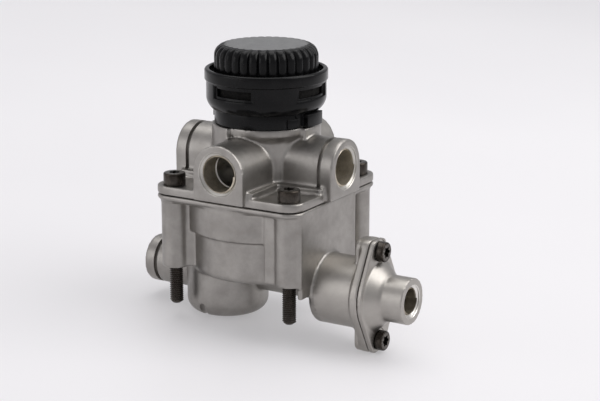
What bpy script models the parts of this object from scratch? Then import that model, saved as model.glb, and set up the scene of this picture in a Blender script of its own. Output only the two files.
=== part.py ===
# Air brake relay valve.
# Run with: blender --background --python part.py
# Frame: origin on the main axis in the plane of the pillar ends, +Z to the silencer,
# +X to the check valve. Driving dimensions are in millimetres.

import math

import bpy
import bmesh

MM = 0.001
GAP = 0.3
WELD = 0.00001
SMOOTH_ANGLE = 32.0
OVERCUT = 2.0

# Steps round a circle
BIG = 32
MIDDLE = 20
SMALL = 12

# Housing outline and heights
PLATE_WIDTH = 98.0
PLATE_CORNER = 10.0
RIM_LOW_Z = 39.9
PARTING_Z = 44.5
PLATE_TOP_Z = 49.5
POCKET_FLOOR_Z = 48.8
RIM_WIDTH = 3.0
RIM_UNDERCUT = 1.6
RIM_EDGE_Z = 41.6
POCKET_INNER = 20.0
POCKET_CORNER = 6.0
FOOT_HALF_WIDTH = 20.3
FOOT_REACH = 48.5
FOOT_TOP_Z = 52.9

# Housing bolts, M8
BOLT_PLACE = 39.0
BOLT_R = 4.0
BOLT_HOLE_R = BOLT_R + GAP
BOLT_HEAD_R = 6.5
BOLT_HEAD_HEIGHT = 7.2
BOLT_SOCKET_R = 3.4
BOLT_SOCKET_DEPTH = 4.0
BOLT_END_Z = -23.0

# Upper tower
TOWER_R = 26.5
BEAD_R = 29.5
BEAD_LOW_Z = 78.5
BEAD_EDGE = 1.5
BEAD_SLOPE = 2.6
TOWER_TOP_Z = 84.3
POST_R = 32.0
POST_WIDTH = 50.0
POST_AZIMUTHS = (10.0, 121.0, 232.0)
POST_ROOT_R = 24.5
CHAMBER_R = 22.0
CHAMBER_FLOOR_Z = 57.0
INLET_R = 11.0
INLET_LIP_R = 12.6
INLET_LIP_HEIGHT = 2.0
INLET_LIP_SLOPE = 1.0
INLET_SEAT_Z = CHAMBER_FLOOR_Z + INLET_LIP_HEIGHT

# Upper ports, M22 x 1.5
PORT_Z = 62.2
PORT_BOSS_R = 16.7
SUPPLY_FACE = 52.5
DELIVERY_FACE = 53.85
PORT_BOSS_START = 13.0
PORT_BORE_R = 10.2
PORT_SINK_R = 12.4
SINK_STEP = 0.8
SUPPLY_END = 18.0
COLLAR_LENGTH = 7.35
GROOVE_WIDTH = 2.6
GROOVE_DEPTH = 2.0
DELIVERY_END = 30.0
PASSAGE_R = 7.5
PASSAGE_PLACE = 33.0

# Piston chamber
CHAMBER_BORE_R = 41.0
CHAMBER_BORE_FLOOR_Z = 8.0
BULGE_R = 48.3
BODY_R = 45.0
BODY_STEP_Z = 21.5
BODY_STEP_SLOPE = 1.0
BODY_LOW_Z = -3.4
BODY_EDGE = 3.0
BODY_EDGE_SAG = 1.0
PILLAR_R = 8.0
WEB_START = 40.0
WEB_END = 54.0
WEB_HALF_WIDTH = 6.5
WEB_EDGE = 0.5
SEAL_GROOVE_OUTER_R = 45.0
SEAL_GROOVE_INNER_R = 42.0
SEAL_GROOVE_DEPTH = 2.2
HOUSING_RING_WIRE_R = (SEAL_GROOVE_DEPTH - GAP) / 2

# Flat wall and cross axis
CROSS_Y = -11.0
CROSS_Z = -7.0
WALL_X = 49.0
WALL_BACK_X = 24.0
WALL_CORNER = 1.5
WALL_HALF_WIDTH = 32.0
WALL_LOW_Z = -7.4
WALL_THICKNESS = 3.5
GALLERY_R = 6.0
BEAM_R = 8.5
LAP = 5.0

# Check valve boss, bore and flanges
BOSS_R = 20.5
BOSS_START_X = 47.0
FLANGE_FACE_X = 79.0
FLANGE_THICKNESS = 4.8
FLANGE_BACK_X = FLANGE_FACE_X - FLANGE_THICKNESS
FLANGE_WAIST_R = 21.5
LOBE_HALF_WIDTH = 8.0
LOBE_END = 33.3
LOBE_CORNER = 4.5
LOBE_BACK_X = 70.0
LOBE_BACK_INSET = 0.2
SCREW_PLACE = 26.4
CHECK_BORE_R = 13.0
CHECK_BORE_DEPTH = 22.8
CHECK_FLOOR_X = FLANGE_FACE_X - CHECK_BORE_DEPTH
CHECK_SEAT_R = 8.0
CHECK_SEAT_HEIGHT = 1.5
CHECK_SEAT_SLOPE = 0.5
TRANSFER_R = 2.4
TRANSFER_OFFSET = 10.4
TRANSFER_X = 34.0
TRANSFER_LAP = 1.0
COVER_FLANGE_X = 82.2
COVER_WAIST_R = 20.5
NOSE_START_X = 89.2
NOSE_R = 13.5
NOSE_FACE_X = 103.0
CONTROL_BORE_R = 7.2
CONTROL_SINK_R = 9.4
CONTROL_DEPTH = 14.0
SPIGOT_LENGTH = 9.0
SPIGOT_EDGE = 1.0
COVER_GROOVE_START_X = FLANGE_FACE_X - 5.8
COVER_GROOVE_END_X = FLANGE_FACE_X - 3.2
COVER_GROOVE_R = 10.4
COVER_RING_WIRE_R = 0.85
SCREW_R = 3.0
SCREW_HEAD_R = 5.85
SCREW_HEAD_HEIGHT = 4.6
SCREW_SOCKET_R = 2.6
SCREW_SOCKET_DEPTH = 2.4
SCREW_LENGTH = 12.0
SPOT_R = 7.1
SPOT_DEPTH = 0.5

# Check shuttle
SHUTTLE_LENGTH = 6.4
SHUTTLE_OVERLAP = 1.2
SHUTTLE_WINGS = 3
SHUTTLE_WING_WIDTH = 30.0
SHUTTLE_WING_ROOT = 2.0
SHUTTLE_WING_INSET = 1.0

# Screw and bolt shapes
HEAD_CHAMFER = 0.6
END_CHAMFER = 0.8

# Left control port and bowl
LEFT_FACE = 72.0
LEFT_R = 14.3
LEFT_START = 40.0
LEFT_COLLAR = 6.5
BOWL_X = -21.0
BOWL_R = 24.4
BOWL_LOW_Z = -31.1
BOWL_EDGE = 8.0
BOWL_EDGE_SAG = 0.29
BOWL_RECESS_R = 14.5
BOWL_RECESS_TOP_Z = -19.0
NOTCH_WIDTH = 4.4
NOTCH_HEIGHT = 8.6
NOTCH_SHIFT = 2.5
NOTCH_START = 11.5

# Relay piston
PISTON_R = CHAMBER_BORE_R - 0.5
PISTON_LOW_Z = CHAMBER_BORE_FLOOR_Z + GAP
PISTON_CROWN_Z = 27.0
PISTON_CROWN_THICKNESS = 4.5
PISTON_SKIRT_R = 35.0
PISTON_RING_Z = 19.5
PISTON_RING_WIRE_R = 1.6
PISTON_GROOVE_R = 37.0
TUBE_R = 8.8
TUBE_BORE_R = 6.0
TUBE_BORE_LOW_Z = 36.0
TUBE_FILLET = 3.0
EXHAUST_GAP = 2.0

# Poppet, its seal and the guide
SEAL_LOW_Z = INLET_SEAT_Z + GAP
SEAL_THICKNESS = 1.6
SEAL_R = 14.6
STEM_R = 8.5
STEM_BORE_R = 6.0
HEAD_R = 15.0
HEAD_THICKNESS = 2.6
STEM_FILLET = 1.0
STEM_TOP_Z = 81.2
GUIDE_LOW_Z = 73.2
GUIDE_TOP_Z = 80.0
GUIDE_PLATE = 3.0
GUIDE_R = CHAMBER_R - GAP
GUIDE_SKIRT_R = 17.4
GUIDE_HUB_R = 11.2
GUIDE_HUB_WALL = 0.8
GUIDE_CHAMFER = 0.8
GUIDE_BORE_R = STEM_R + GAP
STEM_RING_HEIGHT = 3.0
GUIDE_RING_WIRE_R = 0.9
STEM_RING_WIRE_R = 0.8
SPRING_R = 13.4
SPRING_WIRE_R = 0.9
SPRING_TURNS = 3.5
SPRING_STEPS = 16

# Retaining ring
CLIP_GROOVE_LOW_Z = 80.2
CLIP_GROOVE_HIGH_Z = 82.2
CLIP_GROOVE_R = 23.4
CLIP_INNER_R = 20.0
CLIP_MOUTH = 40.0

# Silencer
SILENCER_LOW_Z = TOWER_TOP_Z + GAP
BASE_R = 30.5
BASE_TOP_Z = 92.6
BASE_OPENING_R = 16.0
BASE_SPIGOT_R = CHAMBER_R - 0.5
BASE_SPIGOT_DEPTH = 1.7
EAR_AZIMUTHS = (0.0, 88.0, 176.0)
EAR_R = 34.0
EAR_WIDTH = 28.0
EAR_ROOT_R = 28.5
KEY_AZIMUTH = -29.0
KEY_WIDTH = 13.0
KEY_R = 31.8
KEY_TOP_Z = 90.0
BODY_FOOT_R = 32.2
SHELL_R = 35.1
SHELL_STRAIGHT_Z = 99.4
TAPER_STEPS = 3
BAND_LOW_Z = 109.1
BAND_R = 36.0
BAND_TOP_Z = 116.0
BAND_EDGE = 1.4
BAND_FOOT = 0.4
SHELL_WALL = 3.1
SHELL_FLOOR = 2.2
LEDGE_Z = 110.0
LEDGE_R = 33.2
WINDOW_AZIMUTHS = (-94.0, -4.0, 86.0, 176.0)
WINDOW_WIDTH = 47.0
WINDOW_LOW_Z = 101.0
WINDOW_HIGH_Z = 108.3
WINDOW_STEP = 1.2
WINDOW_FRAME = 1.4
PACK_THICKNESS = 8.0
PACK_HEADROOM = 1.0
CAP_FOOT_R = LEDGE_R - 0.5
CAP_FOOT_THICKNESS = 1.5
CAP_R = 30.4
CAP_TOP_Z = 129.8
CAP_TOP_R = 23.7
CAP_SHOULDER = 7.0
CAP_WALL = 2.6
RIB_COUNT = 32
RIB_SAMPLES = 3
RIB_HEIGHT = 1.0


def clear_scene():
    """Remove every object that the file opens with."""
    for thing in list(bpy.data.objects):
        bpy.data.objects.remove(thing, do_unlink=True)


def new_collection(name):
    group = bpy.data.collections.new(name)
    bpy.context.scene.collection.children.link(group)
    return group


clear_scene()
PARTS = new_collection("relay_valve")
CUTTERS = new_collection("cutters")


def new_material(name, colour, roughness, metallic):
    """A Principled material with a plain colour."""
    material = bpy.data.materials.new(name)
    material.use_nodes = True
    shader = material.node_tree.nodes["Principled BSDF"]
    shader.inputs["Base Color"].default_value = (*colour, 1.0)
    shader.inputs["Roughness"].default_value = roughness
    shader.inputs["Metallic"].default_value = metallic
    return material


def cast_aluminium(name):
    return new_material(name, (0.50, 0.50, 0.48), 0.50, 0.85)


def dark_steel(name):
    return new_material(name, (0.07, 0.065, 0.06), 0.42, 0.80)


def spring_steel(name):
    return new_material(name, (0.42, 0.42, 0.43), 0.30, 0.95)


def black_plastic(name):
    return new_material(name, (0.022, 0.022, 0.024), 0.38, 0.0)


def rubber(name):
    return new_material(name, (0.015, 0.015, 0.015), 0.70, 0.0)


def mesh_object(name, mesh, group):
    thing = bpy.data.objects.new(name, mesh)
    group.objects.link(thing)
    if group == CUTTERS:
        thing.hide_render = True
        thing.display_type = "WIRE"
    return thing


def make_part(thing, material):
    """Give a finished piece its material and smooth shading."""
    thing.data.materials.clear()
    thing.data.materials.append(material)
    thing.data.shade_smooth()
    thing.data.set_sharp_from_angle(angle=math.radians(SMOOTH_ANGLE))
    return thing


def turned(name, profile, steps, group=CUTTERS):
    """Turn a profile of (radius, height) points about Z. It runs down its outer side."""
    points = [(radius * MM, 0.0, height * MM) for radius, height in profile]
    edges = [(i, i + 1) for i in range(len(points) - 1)]
    if profile[0][0] > 0 or profile[-1][0] > 0:
        edges.append((len(points) - 1, 0))
    mesh = bpy.data.meshes.new(name)
    mesh.from_pydata(points, edges, [])
    thing = mesh_object(name, mesh, group)
    screw = thing.modifiers.new("turn", "SCREW")
    screw.steps = steps
    screw.render_steps = steps
    screw.use_merge_vertices = True
    screw.merge_threshold = WELD
    return thing


def slab(name, outlines, low, high, group=CUTTERS):
    """A flat shape in XY between two heights, made from closed outlines."""
    curve = bpy.data.curves.new(name, "CURVE")
    curve.dimensions = "2D"
    curve.fill_mode = "BOTH"
    curve.extrude = (high - low) / 2 * MM
    for outline in outlines:
        spline = curve.splines.new("POLY")
        spline.points.add(len(outline) - 1)
        spline.use_cyclic_u = True
        for point, (x, y) in zip(spline.points, outline):
            point.co = (x * MM, y * MM, 0.0, 1.0)
    guide = mesh_object(name + "_outline", curve, CUTTERS)
    graph = bpy.context.evaluated_depsgraph_get()
    mesh = bpy.data.meshes.new_from_object(guide.evaluated_get(graph))
    bpy.data.objects.remove(guide, do_unlink=True)
    shape = bmesh.new()
    shape.from_mesh(mesh)
    bmesh.ops.remove_doubles(shape, verts=shape.verts, dist=WELD)
    bmesh.ops.translate(shape, verts=shape.verts, vec=(0, 0, (low + high) / 2 * MM))
    bmesh.ops.recalc_face_normals(shape, faces=shape.faces)
    shape.to_mesh(mesh)
    shape.free()
    mesh.name = name
    return mesh_object(name, mesh, group)


def facing(thing, azimuth, place=(0, 0, 0)):
    """Lay a shape built along Z out sideways: its Y stays up, its Z points to the azimuth."""
    thing.location = [value * MM for value in place]
    thing.rotation_euler = (math.radians(90), 0, math.radians(azimuth + 90))
    return thing


def placed(thing, x, y, z=0.0):
    thing.location = (x * MM, y * MM, z * MM)
    return thing


def combine(target, tools, operation):
    """One exact Boolean with a group of shapes."""
    group = bpy.data.collections.new(f"{target.name}_{operation.lower()}")
    CUTTERS.children.link(group)
    for tool in tools:
        CUTTERS.objects.unlink(tool)
        group.objects.link(tool)
    step = target.modifiers.new(operation.lower(), "BOOLEAN")
    step.operation = operation
    step.operand_type = "COLLECTION"
    step.collection = group
    step.solver = "EXACT"


def join(target, tools):
    combine(target, tools, "UNION")


def cut(target, tools):
    combine(target, tools, "DIFFERENCE")


def arc(centre, radius, start, end, steps):
    """Points along an arc, angles in degrees."""
    points = []
    for i in range(steps + 1):
        angle = math.radians(start + (end - start) * i / steps)
        points.append((centre[0] + radius * math.cos(angle),
                       centre[1] + radius * math.sin(angle)))
    return points


def rounded_rectangle(x_low, x_high, y_low, y_high, corner, steps=5):
    points = arc((x_high - corner, y_high - corner), corner, 0, 90, steps)
    points += arc((x_low + corner, y_high - corner), corner, 90, 180, steps)
    points += arc((x_low + corner, y_low + corner), corner, 180, 270, steps)
    points += arc((x_high - corner, y_low + corner), corner, 270, 360, steps)
    return points


def sector(inner, outer, azimuth, width, steps=6):
    """A piece of a ring, its width in degrees."""
    start = azimuth - width / 2
    end = azimuth + width / 2
    points = arc((0, 0), outer, start, end, steps)
    points += arc((0, 0), inner, end, start, steps)
    return points


def arch(half_width, foot, spring_line):
    """Straight sides from the foot and a half-round top."""
    points = [(-half_width, foot), (half_width, foot)]
    points += arc((0, spring_line), half_width, 0, 180, 16)
    return points


def tangent_angle(radius, centre, corner):
    """Direction, in degrees, at which a line leaves a circle at the origin for a corner."""
    distance = math.hypot(centre[0], centre[1])
    lean = math.acos((radius - corner) / distance)
    return math.degrees(math.atan2(centre[1], centre[0]) - lean)


def two_lobed(waist, half_width, end, corner):
    """A round waist with a blunt lobe above and below, joined by tangents."""
    across = half_width - corner
    along = end - corner
    lean = tangent_angle(waist, (across, along), corner)
    points = arc((across, along), corner, lean, 90, 5)
    points += arc((-across, along), corner, 90, 180 - lean, 5)
    points += arc((0, 0), waist, 180 - lean, 180 + lean, 7)
    points += arc((-across, -along), corner, 180 + lean, 270, 5)
    points += arc((across, -along), corner, 270, 360 - lean, 5)
    points += arc((0, 0), waist, -lean, lean, 7)
    return points


def corners(place):
    """The four corners of a square, counted round from the front left."""
    return [(-place, -place), (place, -place), (place, place), (-place, place)]


def cylinder(name, radius, low, high, steps):
    return turned(name, [(0, high), (radius, high), (radius, low), (0, low)], steps)


def ring(name, centre_r, centre_z, wire_r, steps, material):
    """A rubber ring of round section."""
    section = []
    sides = 6
    for i in range(sides):
        angle = math.radians(90 - 360 * i / sides)
        section.append((centre_r + wire_r * math.cos(angle), centre_z + wire_r * math.sin(angle)))
    return make_part(turned(name, section, steps, PARTS), material)


def port_bore(name, face, depth, bore_r, sink_r, steps):
    """A threaded port's hole with a shallow counterbore, running in from a face."""
    floor = face - SINK_STEP
    slope = (sink_r - bore_r) / 2
    profile = [(0, face + OVERCUT), (sink_r, face + OVERCUT), (sink_r, floor),
               (bore_r, floor - slope), (bore_r, depth), (0, depth)]
    return turned(name, profile, steps)


def arch_groove(name, face):
    """A groove over an arch-shaped port boss, behind its collar and down to the foot."""
    high = face - COLLAR_LENGTH
    inner = PORT_BOSS_R - GROOVE_DEPTH
    outer = PORT_BOSS_R + OVERCUT
    outline = [(outer, FOOT_TOP_Z), (outer, PORT_Z + outer), (-outer, PORT_Z + outer),
               (-outer, FOOT_TOP_Z), (-inner, FOOT_TOP_Z)]
    outline += arc((0, PORT_Z), inner, 180, 0, 16)
    outline.append((inner, FOOT_TOP_Z))
    return slab(name, [outline], high - GROOVE_WIDTH, high)


def round_groove(name, face):
    """The same groove round the left control port."""
    high = face - LEFT_COLLAR
    low = high - GROOVE_WIDTH
    floor = LEFT_R - GROOVE_DEPTH
    outer = LEFT_R + OVERCUT
    return turned(name, [(floor, high), (outer, high), (outer, low), (floor, low)], MIDDLE)


def upper_housing():
    """Plate, foot, tower and four port bosses with the supply chamber and inlet seat inside."""
    half = PLATE_WIDTH / 2
    outline = rounded_rectangle(-half, half, -half, half, PLATE_CORNER)
    body = slab("upper_housing", [outline], PARTING_Z, PLATE_TOP_Z, PARTS)
    pockets = []
    added = []
    removed = []
    root_z = PARTING_Z + GAP
    pocket_outer = half - RIM_WIDTH
    for index, azimuth in enumerate((0, 90, 180, 270)):
        outline = rounded_rectangle(POCKET_INNER, pocket_outer, POCKET_INNER, pocket_outer,
                                    POCKET_CORNER)
        pocket = slab(f"pocket_{index}", [outline], POCKET_FLOOR_Z, PLATE_TOP_Z + OVERCUT)
        pocket.rotation_euler = (0, 0, math.radians(azimuth))
        pockets.append(pocket)
    wide = FOOT_HALF_WIDTH
    reach = FOOT_REACH
    foot = [(wide, -reach), (wide, -wide), (reach, -wide), (reach, wide), (wide, wide),
            (wide, reach), (-wide, reach), (-wide, wide), (-reach, wide), (-reach, -wide),
            (-wide, -wide), (-wide, -reach)]
    added.append(slab("foot", [foot], root_z, FOOT_TOP_Z))
    tower = turned("tower", [
        (0, TOWER_TOP_Z), (BEAD_R, TOWER_TOP_Z), (BEAD_R, BEAD_LOW_Z + BEAD_EDGE),
        (BEAD_R - BEAD_EDGE, BEAD_LOW_Z), (TOWER_R, BEAD_LOW_Z - BEAD_SLOPE),
        (TOWER_R, root_z + GAP), (0, root_z + GAP)], BIG)
    added.append(tower)
    for azimuth, face in ((-90, SUPPLY_FACE), (90, SUPPLY_FACE),
                          (0, DELIVERY_FACE), (180, DELIVERY_FACE)):
        boss = slab(f"port_boss_{azimuth}", [arch(PORT_BOSS_R, root_z + 2 * GAP, PORT_Z)],
                    PORT_BOSS_START, face)
        added.append(facing(boss, azimuth))
    for index, azimuth in enumerate(POST_AZIMUTHS):
        added.append(slab(f"post_{index}", [sector(POST_ROOT_R, POST_R, azimuth, POST_WIDTH)],
                          root_z + 3 * GAP, TOWER_TOP_Z - GAP))
    inside = turned("supply_chamber", [
        (0, TOWER_TOP_Z + OVERCUT), (CHAMBER_R, TOWER_TOP_Z + OVERCUT),
        (CHAMBER_R, CLIP_GROOVE_HIGH_Z), (CLIP_GROOVE_R, CLIP_GROOVE_HIGH_Z),
        (CLIP_GROOVE_R, CLIP_GROOVE_LOW_Z), (CHAMBER_R, CLIP_GROOVE_LOW_Z),
        (CHAMBER_R, CHAMBER_FLOOR_Z), (INLET_LIP_R + INLET_LIP_SLOPE, CHAMBER_FLOOR_Z),
        (INLET_LIP_R, INLET_SEAT_Z), (INLET_R, INLET_SEAT_Z),
        (INLET_R, PARTING_Z - OVERCUT), (0, PARTING_Z - OVERCUT)], BIG)
    removed.append(inside)
    for azimuth in (-90, 90):
        bore = port_bore(f"supply_bore_{azimuth}", SUPPLY_FACE, SUPPLY_END, PORT_BORE_R,
                         PORT_SINK_R, MIDDLE)
        removed.append(facing(bore, azimuth, (0, 0, PORT_Z)))
    for azimuth, side in ((0, 1), (180, -1)):
        bore = port_bore(f"delivery_bore_{azimuth}", DELIVERY_FACE, DELIVERY_END, PORT_BORE_R,
                         PORT_SINK_R, MIDDLE)
        facing(bore, azimuth, (0, 0, PORT_Z))
        groove = facing(arch_groove(f"delivery_groove_{azimuth}", DELIVERY_FACE), azimuth)
        passage = cylinder(f"passage_{azimuth}", PASSAGE_R, PARTING_Z - OVERCUT, PORT_Z, MIDDLE)
        placed(passage, side * PASSAGE_PLACE, 0)
        removed += [bore, groove, passage]
    for index, (x, y) in enumerate(corners(BOLT_PLACE)):
        hole = cylinder(f"upper_bolt_hole_{index}", BOLT_HOLE_R, PARTING_Z - OVERCUT,
                        PLATE_TOP_Z + OVERCUT, SMALL)
        removed.append(placed(hole, x, y))
    cut(body, pockets)
    join(body, added)
    cut(body, removed)
    return make_part(body, cast_aluminium("upper_housing"))


def lower_housing():
    """Piston chamber, pillars, wall, check valve boss, bowl and control port in one casting."""
    top = PARTING_Z - GAP
    root_z = top - 1
    half = PLATE_WIDTH / 2
    outline = rounded_rectangle(-half, half, -half, half, PLATE_CORNER)
    body = slab("lower_housing", [outline], RIM_EDGE_Z, top, PARTS)
    under = half - RIM_UNDERCUT
    outline = rounded_rectangle(-under, under, -under, under, PLATE_CORNER - RIM_UNDERCUT)
    added = [slab("rim_under", [outline], RIM_LOW_Z, root_z - 2 * GAP)]
    bulge = turned("bulge", [
        (0, root_z), (BULGE_R, root_z), (BULGE_R, BODY_STEP_Z + BODY_STEP_SLOPE),
        (BODY_R, BODY_STEP_Z), (BODY_R, BODY_LOW_Z + BODY_EDGE),
        (BODY_R - BODY_EDGE_SAG, BODY_LOW_Z + BODY_EDGE_SAG),
        (BODY_R - BODY_EDGE, BODY_LOW_Z), (0, BODY_LOW_Z)], BIG)
    added.append(bulge)
    for index, (x, y) in enumerate(corners(BOLT_PLACE)):
        pillar = cylinder(f"pillar_{index}", PILLAR_R, 0, root_z - GAP, SMALL)
        added.append(placed(pillar, x, y))
        web = slab(f"web_{index}", [rounded_rectangle(WEB_START, WEB_END, -WEB_HALF_WIDTH,
                                                      WEB_HALF_WIDTH, WEB_EDGE, 1)],
                   GAP, root_z - 3 * GAP)
        web.rotation_euler = (0, 0, math.atan2(y, x))
        added.append(web)
    wall_low_y = CROSS_Y - WALL_HALF_WIDTH
    wall_high_y = CROSS_Y + WALL_HALF_WIDTH
    wall = slab("wall", [rounded_rectangle(WALL_BACK_X, WALL_X, wall_low_y, wall_high_y,
                                           WALL_CORNER)], -GAP, root_z - 4 * GAP)
    skirt = slab("wall_skirt", [rounded_rectangle(WALL_X - WALL_THICKNESS, WALL_X - GAP,
                                                  wall_low_y + WALL_CORNER,
                                                  wall_high_y - WALL_CORNER, 1)],
                 WALL_LOW_Z, LAP)
    bowl = turned("bowl", [
        (0, BODY_LOW_Z + LAP), (BOWL_R, BODY_LOW_Z + LAP), (BOWL_R, BOWL_LOW_Z + BOWL_EDGE),
        (BOWL_R - BOWL_EDGE_SAG * BOWL_EDGE, BOWL_LOW_Z + BOWL_EDGE_SAG * BOWL_EDGE),
        (BOWL_R - BOWL_EDGE, BOWL_LOW_Z), (0, BOWL_LOW_Z)], BIG)
    placed(bowl, BOWL_X, CROSS_Y)
    cross = (0, CROSS_Y, CROSS_Z)
    beam = facing(cylinder("gallery_beam", BEAM_R, BOWL_X, WALL_X - 1, MIDDLE), 0, cross)
    boss = facing(cylinder("check_boss", BOSS_R, BOSS_START_X, FLANGE_FACE_X - 1, BIG), 0, cross)
    outline = two_lobed(FLANGE_WAIST_R, LOBE_HALF_WIDTH, LOBE_END, LOBE_CORNER)
    flange = facing(slab("check_flange", [outline], FLANGE_BACK_X, FLANGE_FACE_X), 0, cross)
    wide = LOBE_HALF_WIDTH - LOBE_BACK_INSET
    end = LOBE_END - LOBE_BACK_INSET
    outline = rounded_rectangle(-wide, wide, -end, end, LOBE_CORNER)
    lobes = facing(slab("lobe_backs", [outline], LOBE_BACK_X, FLANGE_BACK_X + 1), 0, cross)
    port = facing(cylinder("left_port", LEFT_R, LEFT_START, LEFT_FACE, MIDDLE), 180, cross)
    added += [wall, skirt, bowl, beam, boss, flange, lobes, port]
    join(body, added)
    chamber = turned("piston_chamber", [
        (0, top + OVERCUT), (CHAMBER_BORE_R, top + OVERCUT),
        (CHAMBER_BORE_R, CHAMBER_BORE_FLOOR_Z), (0, CHAMBER_BORE_FLOOR_Z)], BIG)
    seal_groove = turned("seal_groove", [
        (SEAL_GROOVE_INNER_R, top + OVERCUT), (SEAL_GROOVE_OUTER_R, top + OVERCUT),
        (SEAL_GROOVE_OUTER_R, top - SEAL_GROOVE_DEPTH),
        (SEAL_GROOVE_INNER_R, top - SEAL_GROOVE_DEPTH)], BIG)
    seat_x = CHECK_FLOOR_X + CHECK_SEAT_HEIGHT
    gallery_end = -LEFT_FACE + LAP
    check_bore = turned("check_bore", [
        (0, FLANGE_FACE_X + OVERCUT), (CHECK_BORE_R, FLANGE_FACE_X + OVERCUT),
        (CHECK_BORE_R, CHECK_FLOOR_X), (CHECK_SEAT_R, CHECK_FLOOR_X),
        (CHECK_SEAT_R - CHECK_SEAT_SLOPE, seat_x), (GALLERY_R, seat_x),
        (GALLERY_R, gallery_end), (0, gallery_end)], MIDDLE)
    facing(check_bore, 0, cross)
    left_bore = port_bore("left_bore", LEFT_FACE, LEFT_FACE - CONTROL_DEPTH, CONTROL_BORE_R,
                          CONTROL_SINK_R, MIDDLE)
    facing(left_bore, 180, cross)
    left_groove = facing(round_groove("left_groove", LEFT_FACE), 180, cross)
    transfer_z = CROSS_Z + TRANSFER_OFFSET
    transfer = cylinder("transfer", TRANSFER_R, TRANSFER_X, CHECK_FLOOR_X + TRANSFER_LAP, SMALL)
    facing(transfer, 0, (0, CROSS_Y, transfer_z))
    riser = cylinder("riser", TRANSFER_R, transfer_z - TRANSFER_LAP,
                     CHAMBER_BORE_FLOOR_Z + TRANSFER_LAP, SMALL)
    placed(riser, TRANSFER_X, CROSS_Y)
    recess = cylinder("bowl_recess", BOWL_RECESS_R, BOWL_LOW_Z - OVERCUT, BOWL_RECESS_TOP_Z,
                      MIDDLE)
    placed(recess, BOWL_X, CROSS_Y)
    outline = arch(NOTCH_WIDTH / 2, -OVERCUT, NOTCH_HEIGHT - NOTCH_WIDTH / 2)
    notch = slab("bowl_notch", [outline], NOTCH_START, BOWL_R + OVERCUT)
    facing(notch, -90, (BOWL_X - NOTCH_SHIFT, CROSS_Y, BOWL_LOW_Z))
    removed = [chamber, seal_groove, check_bore, left_bore, left_groove, transfer, riser,
               recess, notch]
    for index, (x, y) in enumerate(corners(BOLT_PLACE)):
        hole = cylinder(f"lower_bolt_hole_{index}", BOLT_HOLE_R, -OVERCUT, top + OVERCUT, SMALL)
        removed.append(placed(hole, x, y))
    for index, side in enumerate((1, -1)):
        hole = cylinder(f"housing_screw_hole_{index}", SCREW_R + GAP, LOBE_BACK_X - OVERCUT,
                        FLANGE_FACE_X + OVERCUT, SMALL)
        facing(hole, 0, (0, CROSS_Y, CROSS_Z + side * SCREW_PLACE))
        removed.append(hole)
    cut(body, removed)
    return make_part(body, cast_aluminium("lower_housing"))


def check_valve_cover():
    """Two-lobed flange, cone and nose, with a spigot that carries the second seat."""
    start = FLANGE_FACE_X + GAP
    cross = (0, CROSS_Y, CROSS_Z)
    outline = two_lobed(FLANGE_WAIST_R, LOBE_HALF_WIDTH, LOBE_END, LOBE_CORNER)
    flange = facing(slab("cover_flange", [outline], start, COVER_FLANGE_X), 0, cross)
    spigot_r = CHECK_BORE_R - GAP
    spigot_x = FLANGE_FACE_X - SPIGOT_LENGTH
    cover = turned("check_valve_cover", [
        (0, NOSE_FACE_X), (NOSE_R, NOSE_FACE_X), (NOSE_R, NOSE_START_X),
        (COVER_WAIST_R, COVER_FLANGE_X - GAP), (COVER_WAIST_R, start + 1),
        (spigot_r, start + 1), (spigot_r, COVER_GROOVE_END_X),
        (COVER_GROOVE_R, COVER_GROOVE_END_X), (COVER_GROOVE_R, COVER_GROOVE_START_X),
        (spigot_r, COVER_GROOVE_START_X), (spigot_r, spigot_x + SPIGOT_EDGE),
        (spigot_r - SPIGOT_EDGE, spigot_x), (0, spigot_x)], BIG, PARTS)
    facing(cover, 0, cross)
    bore = port_bore("nose_bore", NOSE_FACE_X, NOSE_FACE_X - CONTROL_DEPTH, CONTROL_BORE_R,
                     CONTROL_SINK_R, MIDDLE)
    facing(bore, 0, cross)
    way = cylinder("nose_way", GALLERY_R, spigot_x - OVERCUT, NOSE_FACE_X - CONTROL_DEPTH + 1,
                   MIDDLE)
    facing(way, 0, cross)
    join(cover, [flange])
    removed = [bore, way]
    for index, side in enumerate((1, -1)):
        place = (0, CROSS_Y, CROSS_Z + side * SCREW_PLACE)
        hole = cylinder(f"cover_screw_hole_{index}", SCREW_R + GAP, FLANGE_FACE_X - OVERCUT,
                        COVER_FLANGE_X + OVERCUT, SMALL)
        facing(hole, 0, place)
        spot = cylinder(f"cover_spot_{index}", SPOT_R, COVER_FLANGE_X - SPOT_DEPTH,
                        NOSE_START_X + OVERCUT, SMALL)
        facing(spot, 0, place)
        removed += [hole, spot]
    cut(cover, removed)
    return make_part(cover, cast_aluminium("check_valve_cover"))


def check_shuttle():
    """The disc between the two control inlets, centred in its bore by its wings."""
    low = CHECK_FLOOR_X + CHECK_SEAT_HEIGHT + GAP
    high = low + SHUTTLE_LENGTH
    disc_r = CHECK_SEAT_R + SHUTTLE_OVERLAP
    disc = turned("check_shuttle", [(0, high), (disc_r, high), (disc_r, low), (0, low)],
                  MIDDLE, PARTS)
    facing(disc, 0, (0, CROSS_Y, CROSS_Z))
    wings = []
    for index in range(SHUTTLE_WINGS):
        outline = sector(disc_r - SHUTTLE_WING_ROOT, CHECK_BORE_R - GAP,
                         90 + 360 * index / SHUTTLE_WINGS, SHUTTLE_WING_WIDTH, 3)
        wing = slab(f"shuttle_wing_{index}", [outline], low + SHUTTLE_WING_INSET,
                    high - SHUTTLE_WING_INSET)
        wings.append(facing(wing, 0, (0, CROSS_Y, CROSS_Z)))
    join(disc, wings)
    return make_part(disc, rubber("check_shuttle"))


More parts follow.
